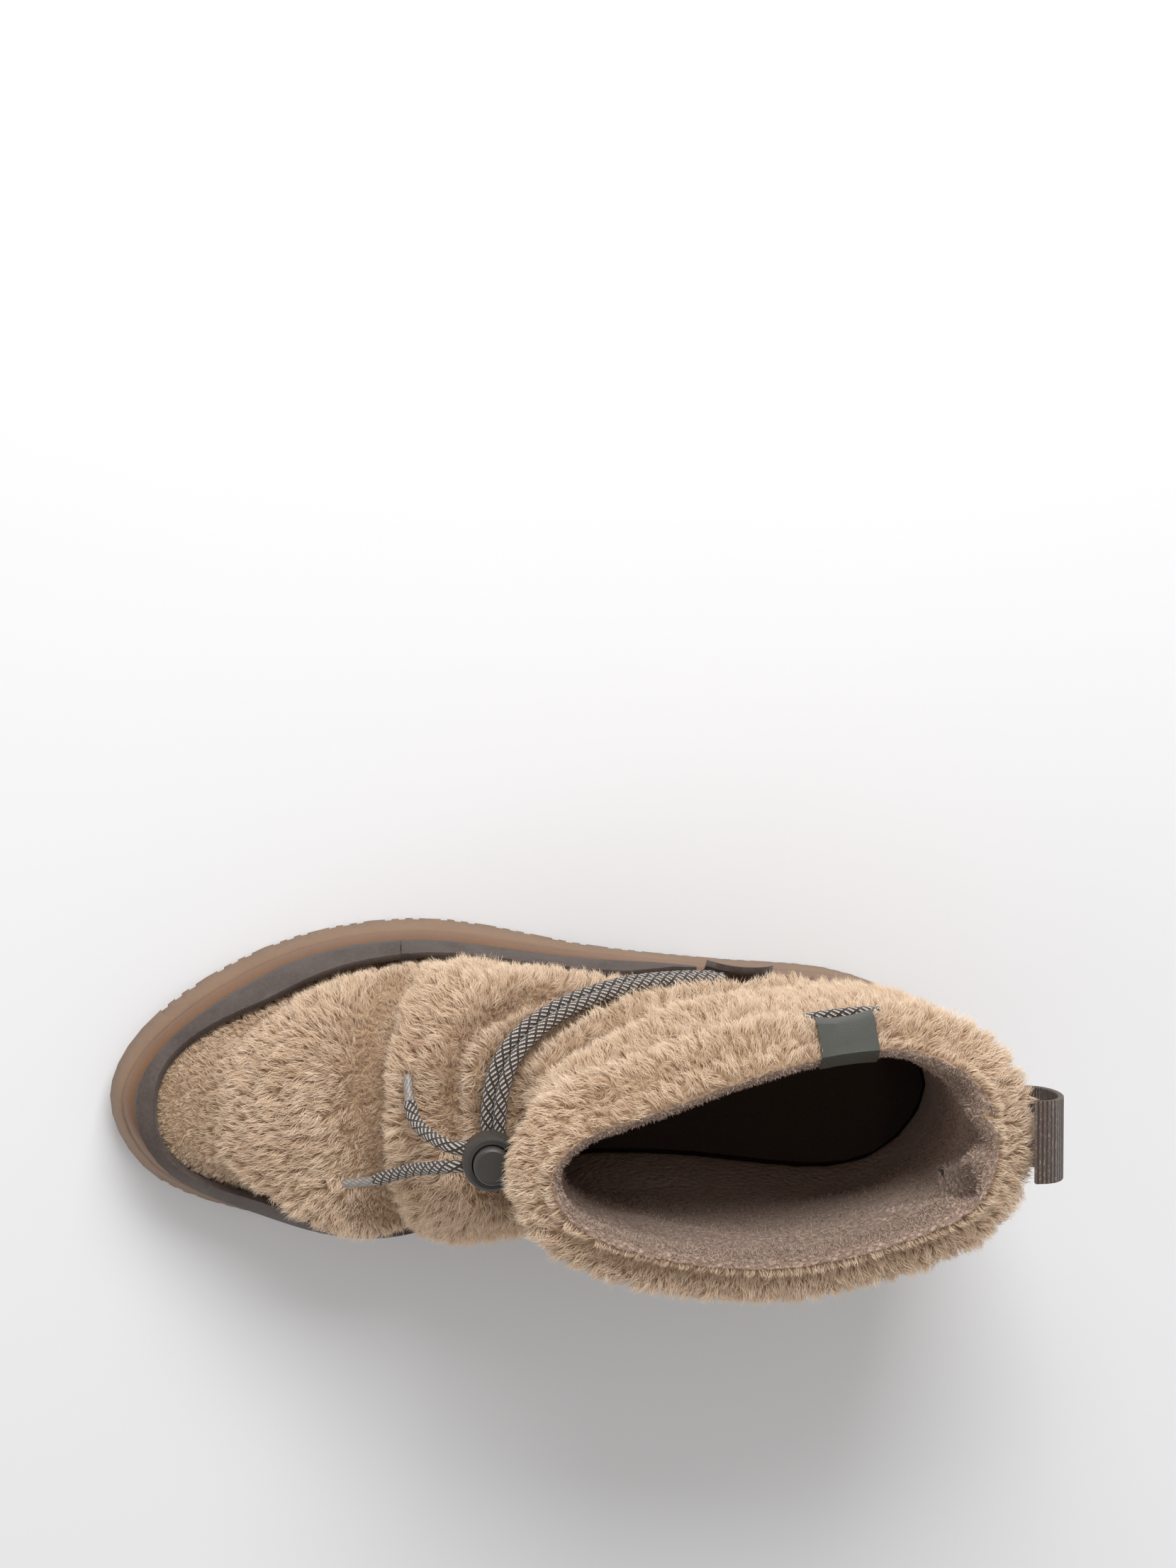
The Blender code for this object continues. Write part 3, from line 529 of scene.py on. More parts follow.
cordValues = {
    "diameter": 0.0041,
    "tipDiameter": 0.0031,
    "freeEnd": 0.040,
    "slotMiddle": (0.1592, 0.0086, 0.1147),
    "tipPlaces": (0, 0.12, 0.9, 1.0),
    "tipShares": (1.25, 1.0, 0.95, 0.8),
    "dark": srgb(58, 47, 42),
    "light": srgb(232, 220, 208),
    "tip": srgb(150, 142, 138),
}

# routes from the slot's middle along plan x, y and z, in shares of the free length
upperRoute = ((0.272, -0.088, 0.0), (0.320, -0.100, -0.030), (0.400, -0.125, -0.120), (0.480, -0.165, -0.245),
              (0.545, -0.215, -0.365), (0.580, -0.285, -0.450), (0.597, -0.360, -0.510))
upperTipRoute = ((0.600, -0.385, -0.525), (0.607, -0.475, -0.570), (0.610, -0.563, -0.615))
lowerRoute = ((0.272, 0.055, 0.0), (0.320, 0.062, -0.037), (0.400, 0.085, -0.125), (0.500, 0.115, -0.275),
              (0.596, 0.153, -0.430), (0.720, 0.215, -0.605), (0.850, 0.283, -0.765))
lowerTipRoute = ((0.872, 0.290, -0.790), (0.990, 0.318, -0.880), (1.110, 0.335, -0.935))


def makeCordMaterial(values):
    material, tree, shader = newMaterial("braidedCord", 0.75, Sheen_Weight=0.15)
    pattern = placeGroup(tree, braid)
    patches = patchesOf(tree, 900.0)
    wear = scaled(tree, patches, 0.5, 0.62)
    light = scaled(tree, pattern.outputs["Light"], wear)
    colour = mixColours(tree, light, values["dark"], values["light"])
    shade = rampOf(tree, pattern.outputs["Height"], [(0.0, (0.45, 0.42, 0.40)), (0.35, (1, 1, 1))])
    paint(tree, shader, multiplyColours(tree, colour, shade))
    placeBump(tree, shader, pattern.outputs["Height"], 0.0004)
    return material


def makeTipMaterial(values):
    material, tree, shader = newMaterial("clearTip", 0.28, Coat_Weight=0.4, Coat_Roughness=0.15)
    pattern = placeGroup(tree, braid)
    faint = scaled(tree, pattern.outputs["Light"], 0.45)
    colour = mixColours(tree, faint, values["tip"], values["light"])
    darker = mixColours(tree, 0.35, colour, values["dark"])
    paint(tree, shader, darker)
    placeBump(tree, shader, pattern.outputs["Height"], 0.0001)
    return material


cordMaterial = makeCordMaterial(cordValues)
tipMaterial = makeTipMaterial(cordValues)


def makeFreeEnds(values):
    middle = world(*values["slotMiddle"])
    routes = {"Upper": (upperRoute, upperTipRoute), "Lower": (lowerRoute, lowerTipRoute)}
    for label, (route, tipRoute) in routes.items():
        inside = np.array([[0.10, route[0][1] * 0.8, 0.0], [0.19, route[0][1] * 0.9, 0.0]])
        points = smoothLine(np.vstack([inside, route]) * values["freeEnd"] + middle, 34)
        cordMesh = tubeMesh(f"cordEnd{label}", points, values["diameter"] / 2)
        cord = addPiece(f"cordEnd{label}", cordMesh, cordMaterial,
                        stands=[f"cord_end_{label.lower()}"])
        tipPoints = smoothLine(np.vstack([route[-1:], tipRoute]) * values["freeEnd"] + middle, 14)
        taper = np.interp(np.linspace(0, 1, 14), values["tipPlaces"], values["tipShares"])
        tipMesh = tubeMesh(f"cordTip{label}", tipPoints, taper * values["tipDiameter"] / 2)
        tip = addPiece(f"cordTip{label}", tipMesh, tipMaterial,
                       stands=[f"cord_tip_{label.lower()}"])
        free, rigid = lengthOf(points) * 1000, lengthOf(tipPoints) * 1000
        report(f"{label.lower()} free end {free:.1f} mm and tip {rigid:.1f} mm")


makeFreeEnds(cordValues)


# outsole

outsoleValues = {
    "tread": srgb(152, 123, 98),
    "treadDark": srgb(122, 97, 77),
    "line": srgb(126, 84, 48),
    "ridge": srgb(134, 96, 66),
    "ridgeDark": srgb(104, 74, 51),
    "cup": srgb(52, 43, 38),
    "lineFrom": 0.560,
    "ridgeFrom": 0.595,
    "cutsTo": 0.30,
    "cutPitch": 0.0026,
    "turnMiddle": 0.19,
    "turnRadius": 0.055,
    "length": 0.280,
    "toeWall": 0.021,
    "ballWall": 0.023,
    "heelWall": 0.031,
    "toeSpring": 0.009,
    "archRise": 0.005,
}
soleMiddle = np.array([(0.040, 0.0, 0.0), (0.130, 0.0, 0.0), (0.235, 0.0, 0.0)])


def soleHeights(x, values):
    share = x / values["length"]
    arch = eased((share - 0.27) / 0.13) * (1 - eased((share - 0.42) / 0.12))
    low = values["archRise"] * arch + values["toeSpring"] * np.clip((share - 0.77) / 0.23, 0, 1) ** 1.8
    heel = (values["heelWall"] - values["ballWall"]) * (1 - eased((share - 0.14) / 0.36))
    toe = (values["toeWall"] - values["ballWall"]) * eased((share - 0.75) / 0.25)
    return low, low + values["ballWall"] + heel + toe


def makeOutsoleMaterial(values):
    material, tree, shader = newMaterial("gumRubber", 0.5, Specular_IOR_Level=0.45)
    height = attributeOf(tree, "wallShare").outputs["Fac"]
    patches = patchesOf(tree, 45.0, 14.0)
    tread = mixColours(tree, patches, values["treadDark"], values["tread"])
    ridge = mixColours(tree, patches, values["ridgeDark"], values["ridge"])
    upperPart = mathNode(tree, "GREATER_THAN", height, values["ridgeFrom"])
    linePart = mathNode(tree, "GREATER_THAN", height, values["lineFrom"])
    colour = mixColours(tree, linePart, tread, values["line"])
    colour = mixColours(tree, upperPart, colour, ridge)
    # the cup's inner wall gets the painted shade colour
    colour = mixColours(tree, attributeOf(tree, "inside").outputs["Fac"], colour, values["cup"])
    paint(tree, shader, colour)
    worn = scaled(tree, patches, 0.12, 0.52)
    rough = scaled(tree, upperPart, -0.24, worn)
    link(tree, rough, shader.inputs["Roughness"])
    serration = attributeOf(tree, "edgeTravel").outputs["Fac"]
    wave = mathNode(tree, "SINE", scaled(tree, serration, 2 * math.pi / values["cutPitch"]))
    low = mathNode(tree, "LESS_THAN", height, values["cutsTo"])
    relief = scaled(tree, scaled(tree, wave, low), 0.4)
    grain = scaled(tree, noiseOf(tree, 1400.0), 0.5, relief)
    placeBump(tree, shader, grain, 0.0002, 0.6)
    return material


def makeOutsole(values):
    mesh = weldedCopy("outsole", name="outsole")
    mesh.set_sharp_from_angle(angle=math.radians(38))
    points = pointsOf(mesh) - planToWorld
    low, top = soleHeights(points[:, 0], values)
    setAttribute(mesh, "wallShare", (points[:, 2] - low) / (top - low))
    triangles = trianglesOf(mesh)
    normals = vertexNormals(points, triangles)
    # inward-facing walls of the cup below its lip get painted shade
    inward = np.sum(awayFromMiddle(points, soleMiddle) * normals, axis=1) < 0.15
    inCup = (points[:, 2] > low + 0.55 * (top - low)) & (points[:, 2] < top - 0.0012)
    setAttribute(mesh, "inside", inward & inCup)
    # how far along the sole's edge a place is, in metres, for the even cuts
    around = np.arctan2(points[:, 1], points[:, 0] - values["turnMiddle"])
    setAttribute(mesh, "edgeTravel", around * values["turnRadius"])
    addPiece("outsole", mesh, makeOutsoleMaterial(values), stands=["outsole"])


makeOutsole(outsoleValues)
report("outsole")


# suede mudguard and cord keepers

suedeValues = {
    "base": srgb(88, 77, 72),
    "dark": srgb(64, 55, 51),
    "light": srgb(106, 94, 87),
    "swell": 0.0024,
    "height": 0.021,
    "toeShare": 0.40,
}


def suedeHeight(x):
    # how far the suede stands above the sole's lip: less round the toe
    share = x / outsoleValues["length"]
    return suedeValues["height"] * (1 - (1 - suedeValues["toeShare"]) * eased((share - 0.78) / 0.16))


def makeSuedeMaterial(values):
    material, tree, shader = newMaterial(
        "suede", 0.92, Sheen_Weight=0.12, Sheen_Roughness=0.5, Specular_IOR_Level=0.15)
    patches = patchesOf(tree, 90.0, 9.0)
    nap = noiseOf(tree, 2600.0, 2.0)
    patchy = scaled(tree, patches, 0.65)
    tone = scaled(tree, nap, 0.35, patchy)
    colour = rampOf(tree, tone, [(0.30, values["dark"]), (0.52, values["base"]), (0.75, values["light"])])
    paint(tree, shader, colour)
    placeBump(tree, shader, nap, 0.0003, 0.6)
    return material


def swellSuede(mesh, values):
    # above the sole's lip the suede swells out over it, and draws in again under the fur
    points = pointsOf(mesh) - planToWorld
    _, top = soleHeights(points[:, 0], outsoleValues)
    rise = (points[:, 2] - top) / suedeHeight(points[:, 0])
    swell = eased((rise + 0.02) / 0.20) * (1 - eased((rise - 0.35) / 0.6))
    outward = awayFromMiddle(points, soleMiddle)
    setPoints(mesh, points + outward * (values["swell"] * swell)[:, None] + planToWorld)


suedeNodes = (
    "toe_rand", "side_rand_lateral", "side_rand_medial", "cord_keeper_lateral", "cord_keeper_medial",
)
suedeMaterial = makeSuedeMaterial(suedeValues)
for nodeName in suedeNodes:
    suedeMesh = weldedCopy(nodeName, name=nodeName)
    if not nodeName.startswith("cord_keeper"):
        swellSuede(suedeMesh, suedeValues)
    suedeMesh.set_sharp_from_angle(angle=math.radians(40))
    addPiece("suede_" + nodeName, suedeMesh, suedeMaterial, stands=[nodeName])
report("suede")


# insole

insoleValues = {"base": srgb(58, 48, 43), "light": srgb(80, 68, 61)}


def makeInsole(values):
    material, tree, shader = newMaterial("insoleFabric", 0.9, Sheen_Weight=0.1, Specular_IOR_Level=0.2)
    weave = noiseOf(tree, 1800.0, 2.0)
    paint(tree, shader, mixColours(tree, weave, values["base"], values["light"]))
    placeBump(tree, shader, weave, 0.0002, 0.5)
    mesh = weldedCopy("insole", name="insole")
    mesh.set_sharp_from_angle(angle=math.radians(40))
    addPiece("insole", mesh, material, stands=["insole"])


makeInsole(insoleValues)
report("insole")


# upper: undercoat, lining and the pile on it

upperValues = {
    "undercoatShade": srgb(196, 168, 138),
    "undercoatShadeDark": srgb(156, 128, 101),
    "lining": srgb(196, 171, 154),
    "liningDark": srgb(154, 131, 116),
    "rootDrop": 0.0022,
    "pileLength": 0.0058,
    "pileFrom": 0.030,
    "blades": 262000,
    "bladeWidth": 0.00024,
    "clumps": 7600,
    "batches": 4,
    "clearance": 0.0006,
    "leastShown": 0.22,
    "hollowBend": 0.0016,
    "foldGain": 1.3,
    "foldDeepest": -0.0030,
    "foldHighest": 0.0022,
    "leastWall": 0.0012,
    "light": srgb(250, 231, 208),
    "mid": srgb(233, 209, 182),
    # the blades' foot colour is painted shade deep in the pile
    "rootShade": srgb(190, 162, 134),
    "seed": 7,
}

# creases: plan x, y, z along each trough, how deep and how wide
upperCreases = (
    (((0.153, -0.002, 0.112), (0.138, -0.020, 0.110), (0.110, -0.032, 0.103), (0.072, -0.037, 0.090)),
     0.0046, 0.0052),
    (((0.146, -0.014, 0.124), (0.122, -0.028, 0.122), (0.092, -0.036, 0.117)), 0.0028, 0.0045),
    (((0.186, -0.030, 0.083), (0.178, -0.008, 0.092), (0.180, 0.012, 0.091)), 0.0016, 0.0050),
    (((0.216, -0.020, 0.066), (0.222, 0.002, 0.067), (0.214, 0.022, 0.064)), 0.0013, 0.0060),
    (((0.150, -0.050, 0.060), (0.168, -0.038, 0.080), (0.176, -0.024, 0.088)), 0.0020, 0.0045),
    (((0.098, -0.040, 0.080), (0.072, -0.041, 0.082), (0.050, -0.040, 0.080)), 0.0022, 0.0060),
    (((0.120, 0.038, 0.075), (0.092, 0.040, 0.090), (0.060, 0.040, 0.096)), 0.0018, 0.0055),
    (((0.050, -0.040, 0.108), (0.074, -0.038, 0.112), (0.100, -0.034, 0.116)), 0.0014, 0.0050),
)
liningCreases = (
    (((0.009, 0.006, 0.153), (0.013, 0.010, 0.140), (0.024, 0.012, 0.122)), -0.0050, 0.0042),
    (((0.012, 0.017, 0.153), (0.020, 0.020, 0.138), (0.034, 0.020, 0.118)), 0.0034, 0.0032),
    (((0.018, 0.024, 0.152), (0.030, 0.026, 0.134), (0.046, 0.028, 0.120)), -0.0026, 0.0040),
    (((0.011, -0.010, 0.151), (0.019, -0.020, 0.138), (0.034, -0.025, 0.120)), -0.0042, 0.0065),
    (((0.060, 0.032, 0.124), (0.085, 0.031, 0.116), (0.110, 0.026, 0.108)), -0.0014, 0.0070),
)
# the middle line of the hollow inside: walls that face away from it are outside
skeleton = np.array([
    (0.074, 0.000, 0.165), (0.074, 0.000, 0.100), (0.080, 0.000, 0.062),
    (0.130, 0.000, 0.050), (0.180, 0.000, 0.042), (0.222, 0.000, 0.034),
])


def crease(points, normals, creases, wall):
    # each line is first laid on the wall it belongs to
    places = KDTree(int(wall.sum()))
    for k in np.nonzero(wall)[0]:
        places.insert(points[k], int(k))
    places.balance()
    moved = np.zeros(len(points))
    for line, depth, width in creases:
        onWall = [tuple(places.find(place)[0]) for place in smoothLine(line, 12)]
        away, _ = nearestOnLine(points, smoothLine(onWall[::3] + onWall[-1:], 14))
        moved -= depth * np.exp(-((away / width) ** 2))
    return points + normals * moved[:, None]


def makeFurBase(values):
    material, tree, shader = newMaterial("furUndercoat", 0.95, Sheen_Weight=0.1, Specular_IOR_Level=0.1)
    patches = patchesOf(tree, 220.0, 5.0)
    # the backing seen between the blades is painted in the pile's shade colour, varied at random in patches
    paint(tree, shader, mixColours(tree, patches, values["undercoatShadeDark"], values["undercoatShade"]))
    placeBump(tree, shader, patches, 0.001, 0.7)
    return material


def makeLiningMaterial(values):
    material, tree, shader = newMaterial(
        "fleeceLining", 0.95, Sheen_Weight=0.12, Sheen_Roughness=0.6, Specular_IOR_Level=0.15)
    terry = cellsOf(tree, 560.0)
    patches = patchesOf(tree, 120.0, 12.0)
    edge = attributeOf(tree, "terryEdge").outputs["Fac"]
    # each terry loop is painted darker towards its edge, where the bump sinks it: painted shade between the
    # loops
    loops = rampOf(tree, terry, [(0.15, (1, 1, 1)), (0.60, (0.46, 0.43, 0.41))])
    plain = rampOf(tree, patches, [(0.3, values["liningDark"]), (0.6, values["lining"])])
    soft = mixColours(tree, 0.65, plain, values["lining"])
    shadedTerry = multiplyColours(tree, soft, loops)
    colour = mixColours(tree, scaled(tree, edge, 0.75, 0.12), soft, shadedTerry)
    paint(tree, shader, colour)
    uneven = scaled(tree, patches, 0.6)
    height = scaled(tree, terry, -1.0, uneven)
    placeBump(tree, shader, height, 0.0009, 0.8)
    return material


def spreader(triangles, count):
    # gives a function that averages values over each point's neighbours
    edges = np.vstack([triangles[:, [0, 1]], triangles[:, [1, 2]], triangles[:, [2, 0]]])
    here, there = np.vstack([edges, edges[:, ::-1]]).T
    share = np.maximum(np.bincount(here, minlength=count), 1)

    def around(values, passes=1):
        for _ in range(passes):
            if values.ndim == 1:
                mean = np.bincount(here, values[there], count) / share
            else:
                mean = np.stack([np.bincount(here, values[there, k], count) / share for k in range(3)], 1)
            values = 0.4 * values + 0.6 * mean
        return values

    return around


def foldsOf(points, triangles, normals):
    # how far each point stands above or below the smoothed wall round it, in metres
    around = spreader(triangles, len(points))
    above = np.sum((points - around(points, 45)) * normals, axis=1)
    return above - around(above, 60)


def hollowOf(points, triangles, normals, bend, passes=3):
    # 1 at the bottom of folds and grooves, 0 on plain and crowned places
    around = spreader(triangles, len(points))
    return np.clip(around(-foldsOf(points, triangles, normals), passes) / bend, 0, 1)


def keepWall(before, after, inner, triangles, outside, least):
    # outer points are never pushed closer than least to the lining behind them
    lining = triangles[~np.any(outside[triangles], axis=1)]
    tree = BVHTree.FromPolygons(inner.tolist(), lining.tolist())
    step = after - before
    inward = np.linalg.norm(step, axis=1)
    for k in np.nonzero(outside & (inward > 0.0008))[0]:
        hit = tree.ray_cast(Vector(before[k]), Vector(step[k] / inward[k]), 0.03)
        if hit[0] is not None and hit[3] - least < inward[k]:
            after[k] = before[k] + step[k] * max(hit[3] - least, 0) / inward[k]
    return after


def makeUpper(values):
    mesh = weldedCopy("upper", cuts=1, name="upperWall")
    points = pointsOf(mesh) - planToWorld
    triangles = trianglesOf(mesh)
    normals = vertexNormals(points, triangles)
    _, near = nearestOnLine(points, skeleton)
    outside = np.sum(unit(points - near) * normals, axis=1) > 0.0
    # folds deepened, away from the sole and the rim
    zone = eased((points[:, 2] - 0.036) / 0.012) * (1 - eased((points[:, 2] - 0.140) / 0.010))
    folds = np.clip(foldsOf(points, triangles, normals), values["foldDeepest"], values["foldHighest"])
    swell = folds * values["foldGain"] * zone
    body = crease(points, normals, upperCreases, outside) + normals * swell[:, None]
    inner = frontCorner(crease(points, normals, liningCreases, ~outside), cornerValues["liningShare"])
    # the backing lies deeper than the solid, so the pile on it ends at the solid's surface
    sunk = eased((points[:, 2] - 0.030) / 0.006) * (1 - 0.55 * eased((points[:, 2] - 0.154) / 0.005))
    body = frontCorner(body - normals * (values["rootDrop"] * sunk)[:, None], cornerValues["wallShare"])
    before = frontCorner(points, cornerValues["wallShare"])
    body = keepWall(before, body, inner, triangles, outside, values["leastWall"])
    final = np.where(outside[:, None], body, inner)
    setPoints(mesh, final + planToWorld)
    centres = final[triangles].mean(1)
    a, b, c = (final[triangles[:, k]] for k in range(3))
    flat = unit(np.cross(b - a, c - a))
    _, nearFace = nearestOnLine(centres, skeleton)
    faceOut = np.sum(unit(centres - nearFace) * flat, axis=1) > 0.05
    setAttribute(mesh, "terryEdge", eased((points[:, 2] - 0.108) / 0.022))
    mesh.calc_loop_triangles()
    polygonFace = np.zeros(len(mesh.loop_triangles), np.int32)
    mesh.loop_triangles.foreach_get("polygon_index", polygonFace)
    kinds = np.zeros(len(mesh.polygons), np.int32)
    kinds[polygonFace] = np.where(faceOut, 0, 1)
    mesh.polygons.foreach_set("material_index", kinds)
    addPiece("upperWall", mesh, [makeFurBase(values), makeLiningMaterial(values)],
             stands=["upper"])
    return final, triangles, faceOut, vertexNormals(final, triangles)


upperPoints, upperTriangles, upperOut, upperNormals = makeUpper(upperValues)
report("upper wall")


def blend(values, corner, shares):
    # values at places given by three corners and the share of each
    return sum(values[corner[:, k]] * share[:, None] for k, share in enumerate(shares))


def scatter(points, triangles, normals, count, rng, weight, extra=None):
    # random places on the triangles, by area and weight, with their normals
    a, b, c = (points[triangles[:, k]] for k in range(3))
    area = np.linalg.norm(np.cross(b - a, c - a), axis=1) / 2 * weight
    which = rng.choice(len(triangles), count, p=area / area.sum())
    u, v = rng.random(count), rng.random(count)
    flip = u + v > 1
    u, v = np.where(flip, 1 - u, u), np.where(flip, 1 - v, v)
    shares = (1 - u - v, u, v)
    corner = triangles[which]
    place, normal = blend(points, corner, shares), unit(blend(normals, corner, shares))
    if extra is None:
        return place, normal
    return place, normal, blend(extra[:, None], corner, shares)[:, 0]


def flowAt(place, normal):
    # how the pile is combed: down and out towards the sole, and outwards over the rim
    x, y, z = place.T
    rim = eased((z - 0.138) / 0.012)
    forward = 0.30 + 0.50 * eased((x - 0.15) / 0.07)
    down = np.stack([forward, y / 0.05 * 0.7, np.full(len(place), -0.9)], 1)
    centre = np.array([0.076, 0.0, 0.0])
    outwards = (place - centre) * np.array([1, 1.6, 0])
    outwards = unit(outwards) + np.array([0, 0, 0.15])
    wander = 0.5 * np.sin(x * 95 + y * 60) + 0.4 * np.sin(y * 130 - z * 80 + 1.3)
    sideways = np.cross(normal, down) * wander[:, None]
    flow = (down + 0.55 * sideways) * (1 - rim)[:, None] + outwards * rim[:, None]
    flow = flow - normal * np.sum(flow * normal, axis=1, keepdims=True)
    return unit(flow)


def bladesMesh(name, roots, middles, tips, width, across, tint, hollow=0.0):
    # each blade is one quad and one triangle, narrower towards its tip
    count = len(roots)
    half = across * (width / 2)[:, None]
    waist = half * 0.8
    points = np.stack([roots - half, roots + half, middles - waist, middles + waist, tips], 1).reshape(-1, 3)
    base = np.arange(count)[:, None] * 5
    quads = base + np.array([[0, 1, 3, 2]])
    ends = base + np.array([[2, 3, 4]])
    mesh = meshFromArrays(name, points + planToWorld, [quads, ends])
    # red runs from the painted shade at the blade's foot to its tip, and less far in hollows, so blades in
    # creases keep more painted shade; green and blue are tints
    along = np.array([0.0, 0.0, 0.55, 0.55, 1.0]) * np.broadcast_to(1 - 0.55 * hollow, count)[:, None]
    tints = (np.repeat(tint[:, k], 5) for k in range(2))
    colour = np.stack([along.ravel(), *tints, np.ones(count * 5)], 1)
    setAttribute(mesh, "pile", colour, "FLOAT_COLOR")
    return mesh


def makePileMaterial(name, rootShade, mid, light, through=0.25):
    material, tree, shader = newMaterial(
        name, 0.75, Specular_IOR_Level=0.2, Sheen_Weight=0.1, Sheen_Roughness=0.4)
    pile = attributeOf(tree, "pile")
    parts = tree.nodes.new("ShaderNodeSeparateColor")
    link(tree, pile.outputs["Color"], parts.inputs[0])
    patches = patchesOf(tree, 55.0, 5.0)
    tone = scaled(tree, patches, 0.55)
    tone = scaled(tree, parts.outputs["Blue"], 0.30, tone)
    tone = scaled(tree, parts.outputs["Green"], 0.22, tone)
    tips = rampOf(tree, tone, [(0.28, mid), (0.72, light)])
    # blades fade from the painted shade colour at their foot to their tips: painted shade deep in the pile
    upBlade = rampOf(tree, parts.outputs["Red"], [(0.0, (0, 0, 0)), (0.7, (1, 1, 1))])
    colour = mixColours(tree, upBlade, rootShade, tips)
    paint(tree, shader, colour)
    glow = tree.nodes.new("ShaderNodeBsdfTranslucent")
    link(tree, colour, glow.inputs["Color"])
    mixed = tree.nodes.new("ShaderNodeMixShader")
    mixed.inputs[0].default_value = through
    link(tree, shader.outputs[0], mixed.inputs[1])
    link(tree, glow.outputs[0], mixed.inputs[2])
    link(tree, mixed.outputs[0], tree.nodes["Material Output"].inputs["Surface"])
    return material


drawnIn = ("side_loop", "collar_cord")
hardPieces = (
    "outsole", *suedeNodes, "drawcord_lower_run", "drawcord_upper_run", "collar_cord", "cord_stopper",
    "stopper_button", "side_loop", "pull_loop", "cord_end_upper", "cord_end_lower",
)


def obstacleTree(names):
    # the solids that stop the pile, where the scene shows them
    points, faces = [], []
    for name in names:
        mesh = nodes[name].data
        base = len(points)
        corners = pointsOf(mesh)
        if name in drawnIn:
            corners = frontCorner(corners - planToWorld) + planToWorld
        points += corners.tolist()
        mesh.calc_loop_triangles()
        faces += [tuple(base + i for i in t.vertices) for t in mesh.loop_triangles]
    return BVHTree.FromPolygons(points, faces)


def makePile(values):
    rng = np.random.default_rng(values["seed"])
    outTriangles = upperTriangles[upperOut]
    lowest = upperPoints[outTriangles][:, :, 2].mean(1)
    weight = np.where(lowest > values["pileFrom"], 1.0, 0.0)
    wall = (upperPoints, outTriangles, upperNormals)
    hollow = hollowOf(*wall, values["hollowBend"])
    roots, normals, hollow = scatter(*wall, values["blades"], rng, weight, hollow)
    centres, _ = scatter(*wall, values["clumps"], rng, weight)
    tree = KDTree(len(centres))
    for k, centre in enumerate(centres):
        tree.insert(centre, k)
    tree.balance()
    clump = np.array([tree.find(r)[1] for r in roots])
    clumpLean = rng.normal(0, 0.30, (len(centres), 3))
    clumpTone = rng.random(len(centres))
    clumpReach = rng.uniform(0.90, 1.10, len(centres))
    flow = flowAt(roots, normals)
    noise = rng.normal(0, 0.12, (len(roots), 3))
    length = values["pileLength"] * clumpReach[clump] * rng.uniform(0.74, 1.10, len(roots))
    # shorter in hollows, at the suede's edge and on the rim
    _, soleTop = soleHeights(roots[:, 0], outsoleValues)
    edge = roots[:, 2] - soleTop - suedeHeight(roots[:, 0])
    length *= (1 - 0.62 * hollow) * (0.55 + 0.45 * eased((edge + 0.002) / 0.014))
    length *= 1 - 0.18 * eased((roots[:, 2] - 0.142) / 0.010)
    start = unit(normals * 1.0 + flow * 0.35 + clumpLean[clump] * 0.6 + noise)
    end = unit(normals * 0.50 + flow * 0.85 + clumpLean[clump] + noise * 1.2)
    pull = (centres[clump] - roots) * rng.uniform(0.25, 0.70, len(roots))[:, None]
    curlWay = unit(np.cross(normals, rng.normal(0, 1, (len(roots), 3))))
    curl = curlWay * (length * rng.uniform(0, 0.22, len(roots)))[:, None]
    middles = roots + start * (length * 0.5)[:, None] + pull * 0.35 + curl
    tips = middles + end * (length * 0.5)[:, None] + pull * 0.5 - curl * 1.6
    reach = np.linalg.norm(tips - roots, axis=1)
    aim = (tips - roots) / reach[:, None]
    hard = obstacleTree(hardPieces)
    clearance = values["clearance"]
    keep = np.ones(len(roots))
    for k in range(len(roots)):
        hit = hard.ray_cast(Vector(roots[k] + planToWorld), Vector(aim[k]), float(reach[k]) + clearance)
        if hit[0] is not None:
            keep[k] = max(hit[3] - clearance, 0) / reach[k]
    shown = keep > values["leastShown"]
    middles = roots + (middles - roots) * keep[:, None]
    tips = roots + (tips - roots) * keep[:, None]
    kept = (roots, middles, tips, clump, normals, hollow)
    roots, middles, tips, clump, normals, hollow = (a[shown] for a in kept)
    across = unit(np.cross(unit(tips - roots), rng.normal(0, 1, (len(roots), 3)) * 0.6 + normals))
    width = values["bladeWidth"] * rng.uniform(0.7, 1.3, len(roots))
    tint = np.stack([rng.random(len(roots)), clumpTone[clump]], 1)
    material = makePileMaterial("furPile", values["rootShade"], values["mid"], values["light"])
    batches = values["batches"]
    for k in range(batches):
        name = f"furPile{k + 1}"
        part = slice(k * len(roots) // batches, (k + 1) * len(roots) // batches)
        chosen = (a[part] for a in (roots, middles, tips, width, across, tint, hollow))
        addPiece(name, bladesMesh(name, *chosen), material)
    report(f"pile of {len(roots)} blades")


makePile(upperValues)


liningValues = {
    "blades": 34000,
    "length": 0.0014,
    "width": 0.00028,
    # the blades' foot colour is painted shade deep in the fleece
    "rootShade": srgb(142, 122, 110),
    "mid": srgb(184, 160, 145),
    "light": srgb(208, 186, 170),
    "seed": 11,
}


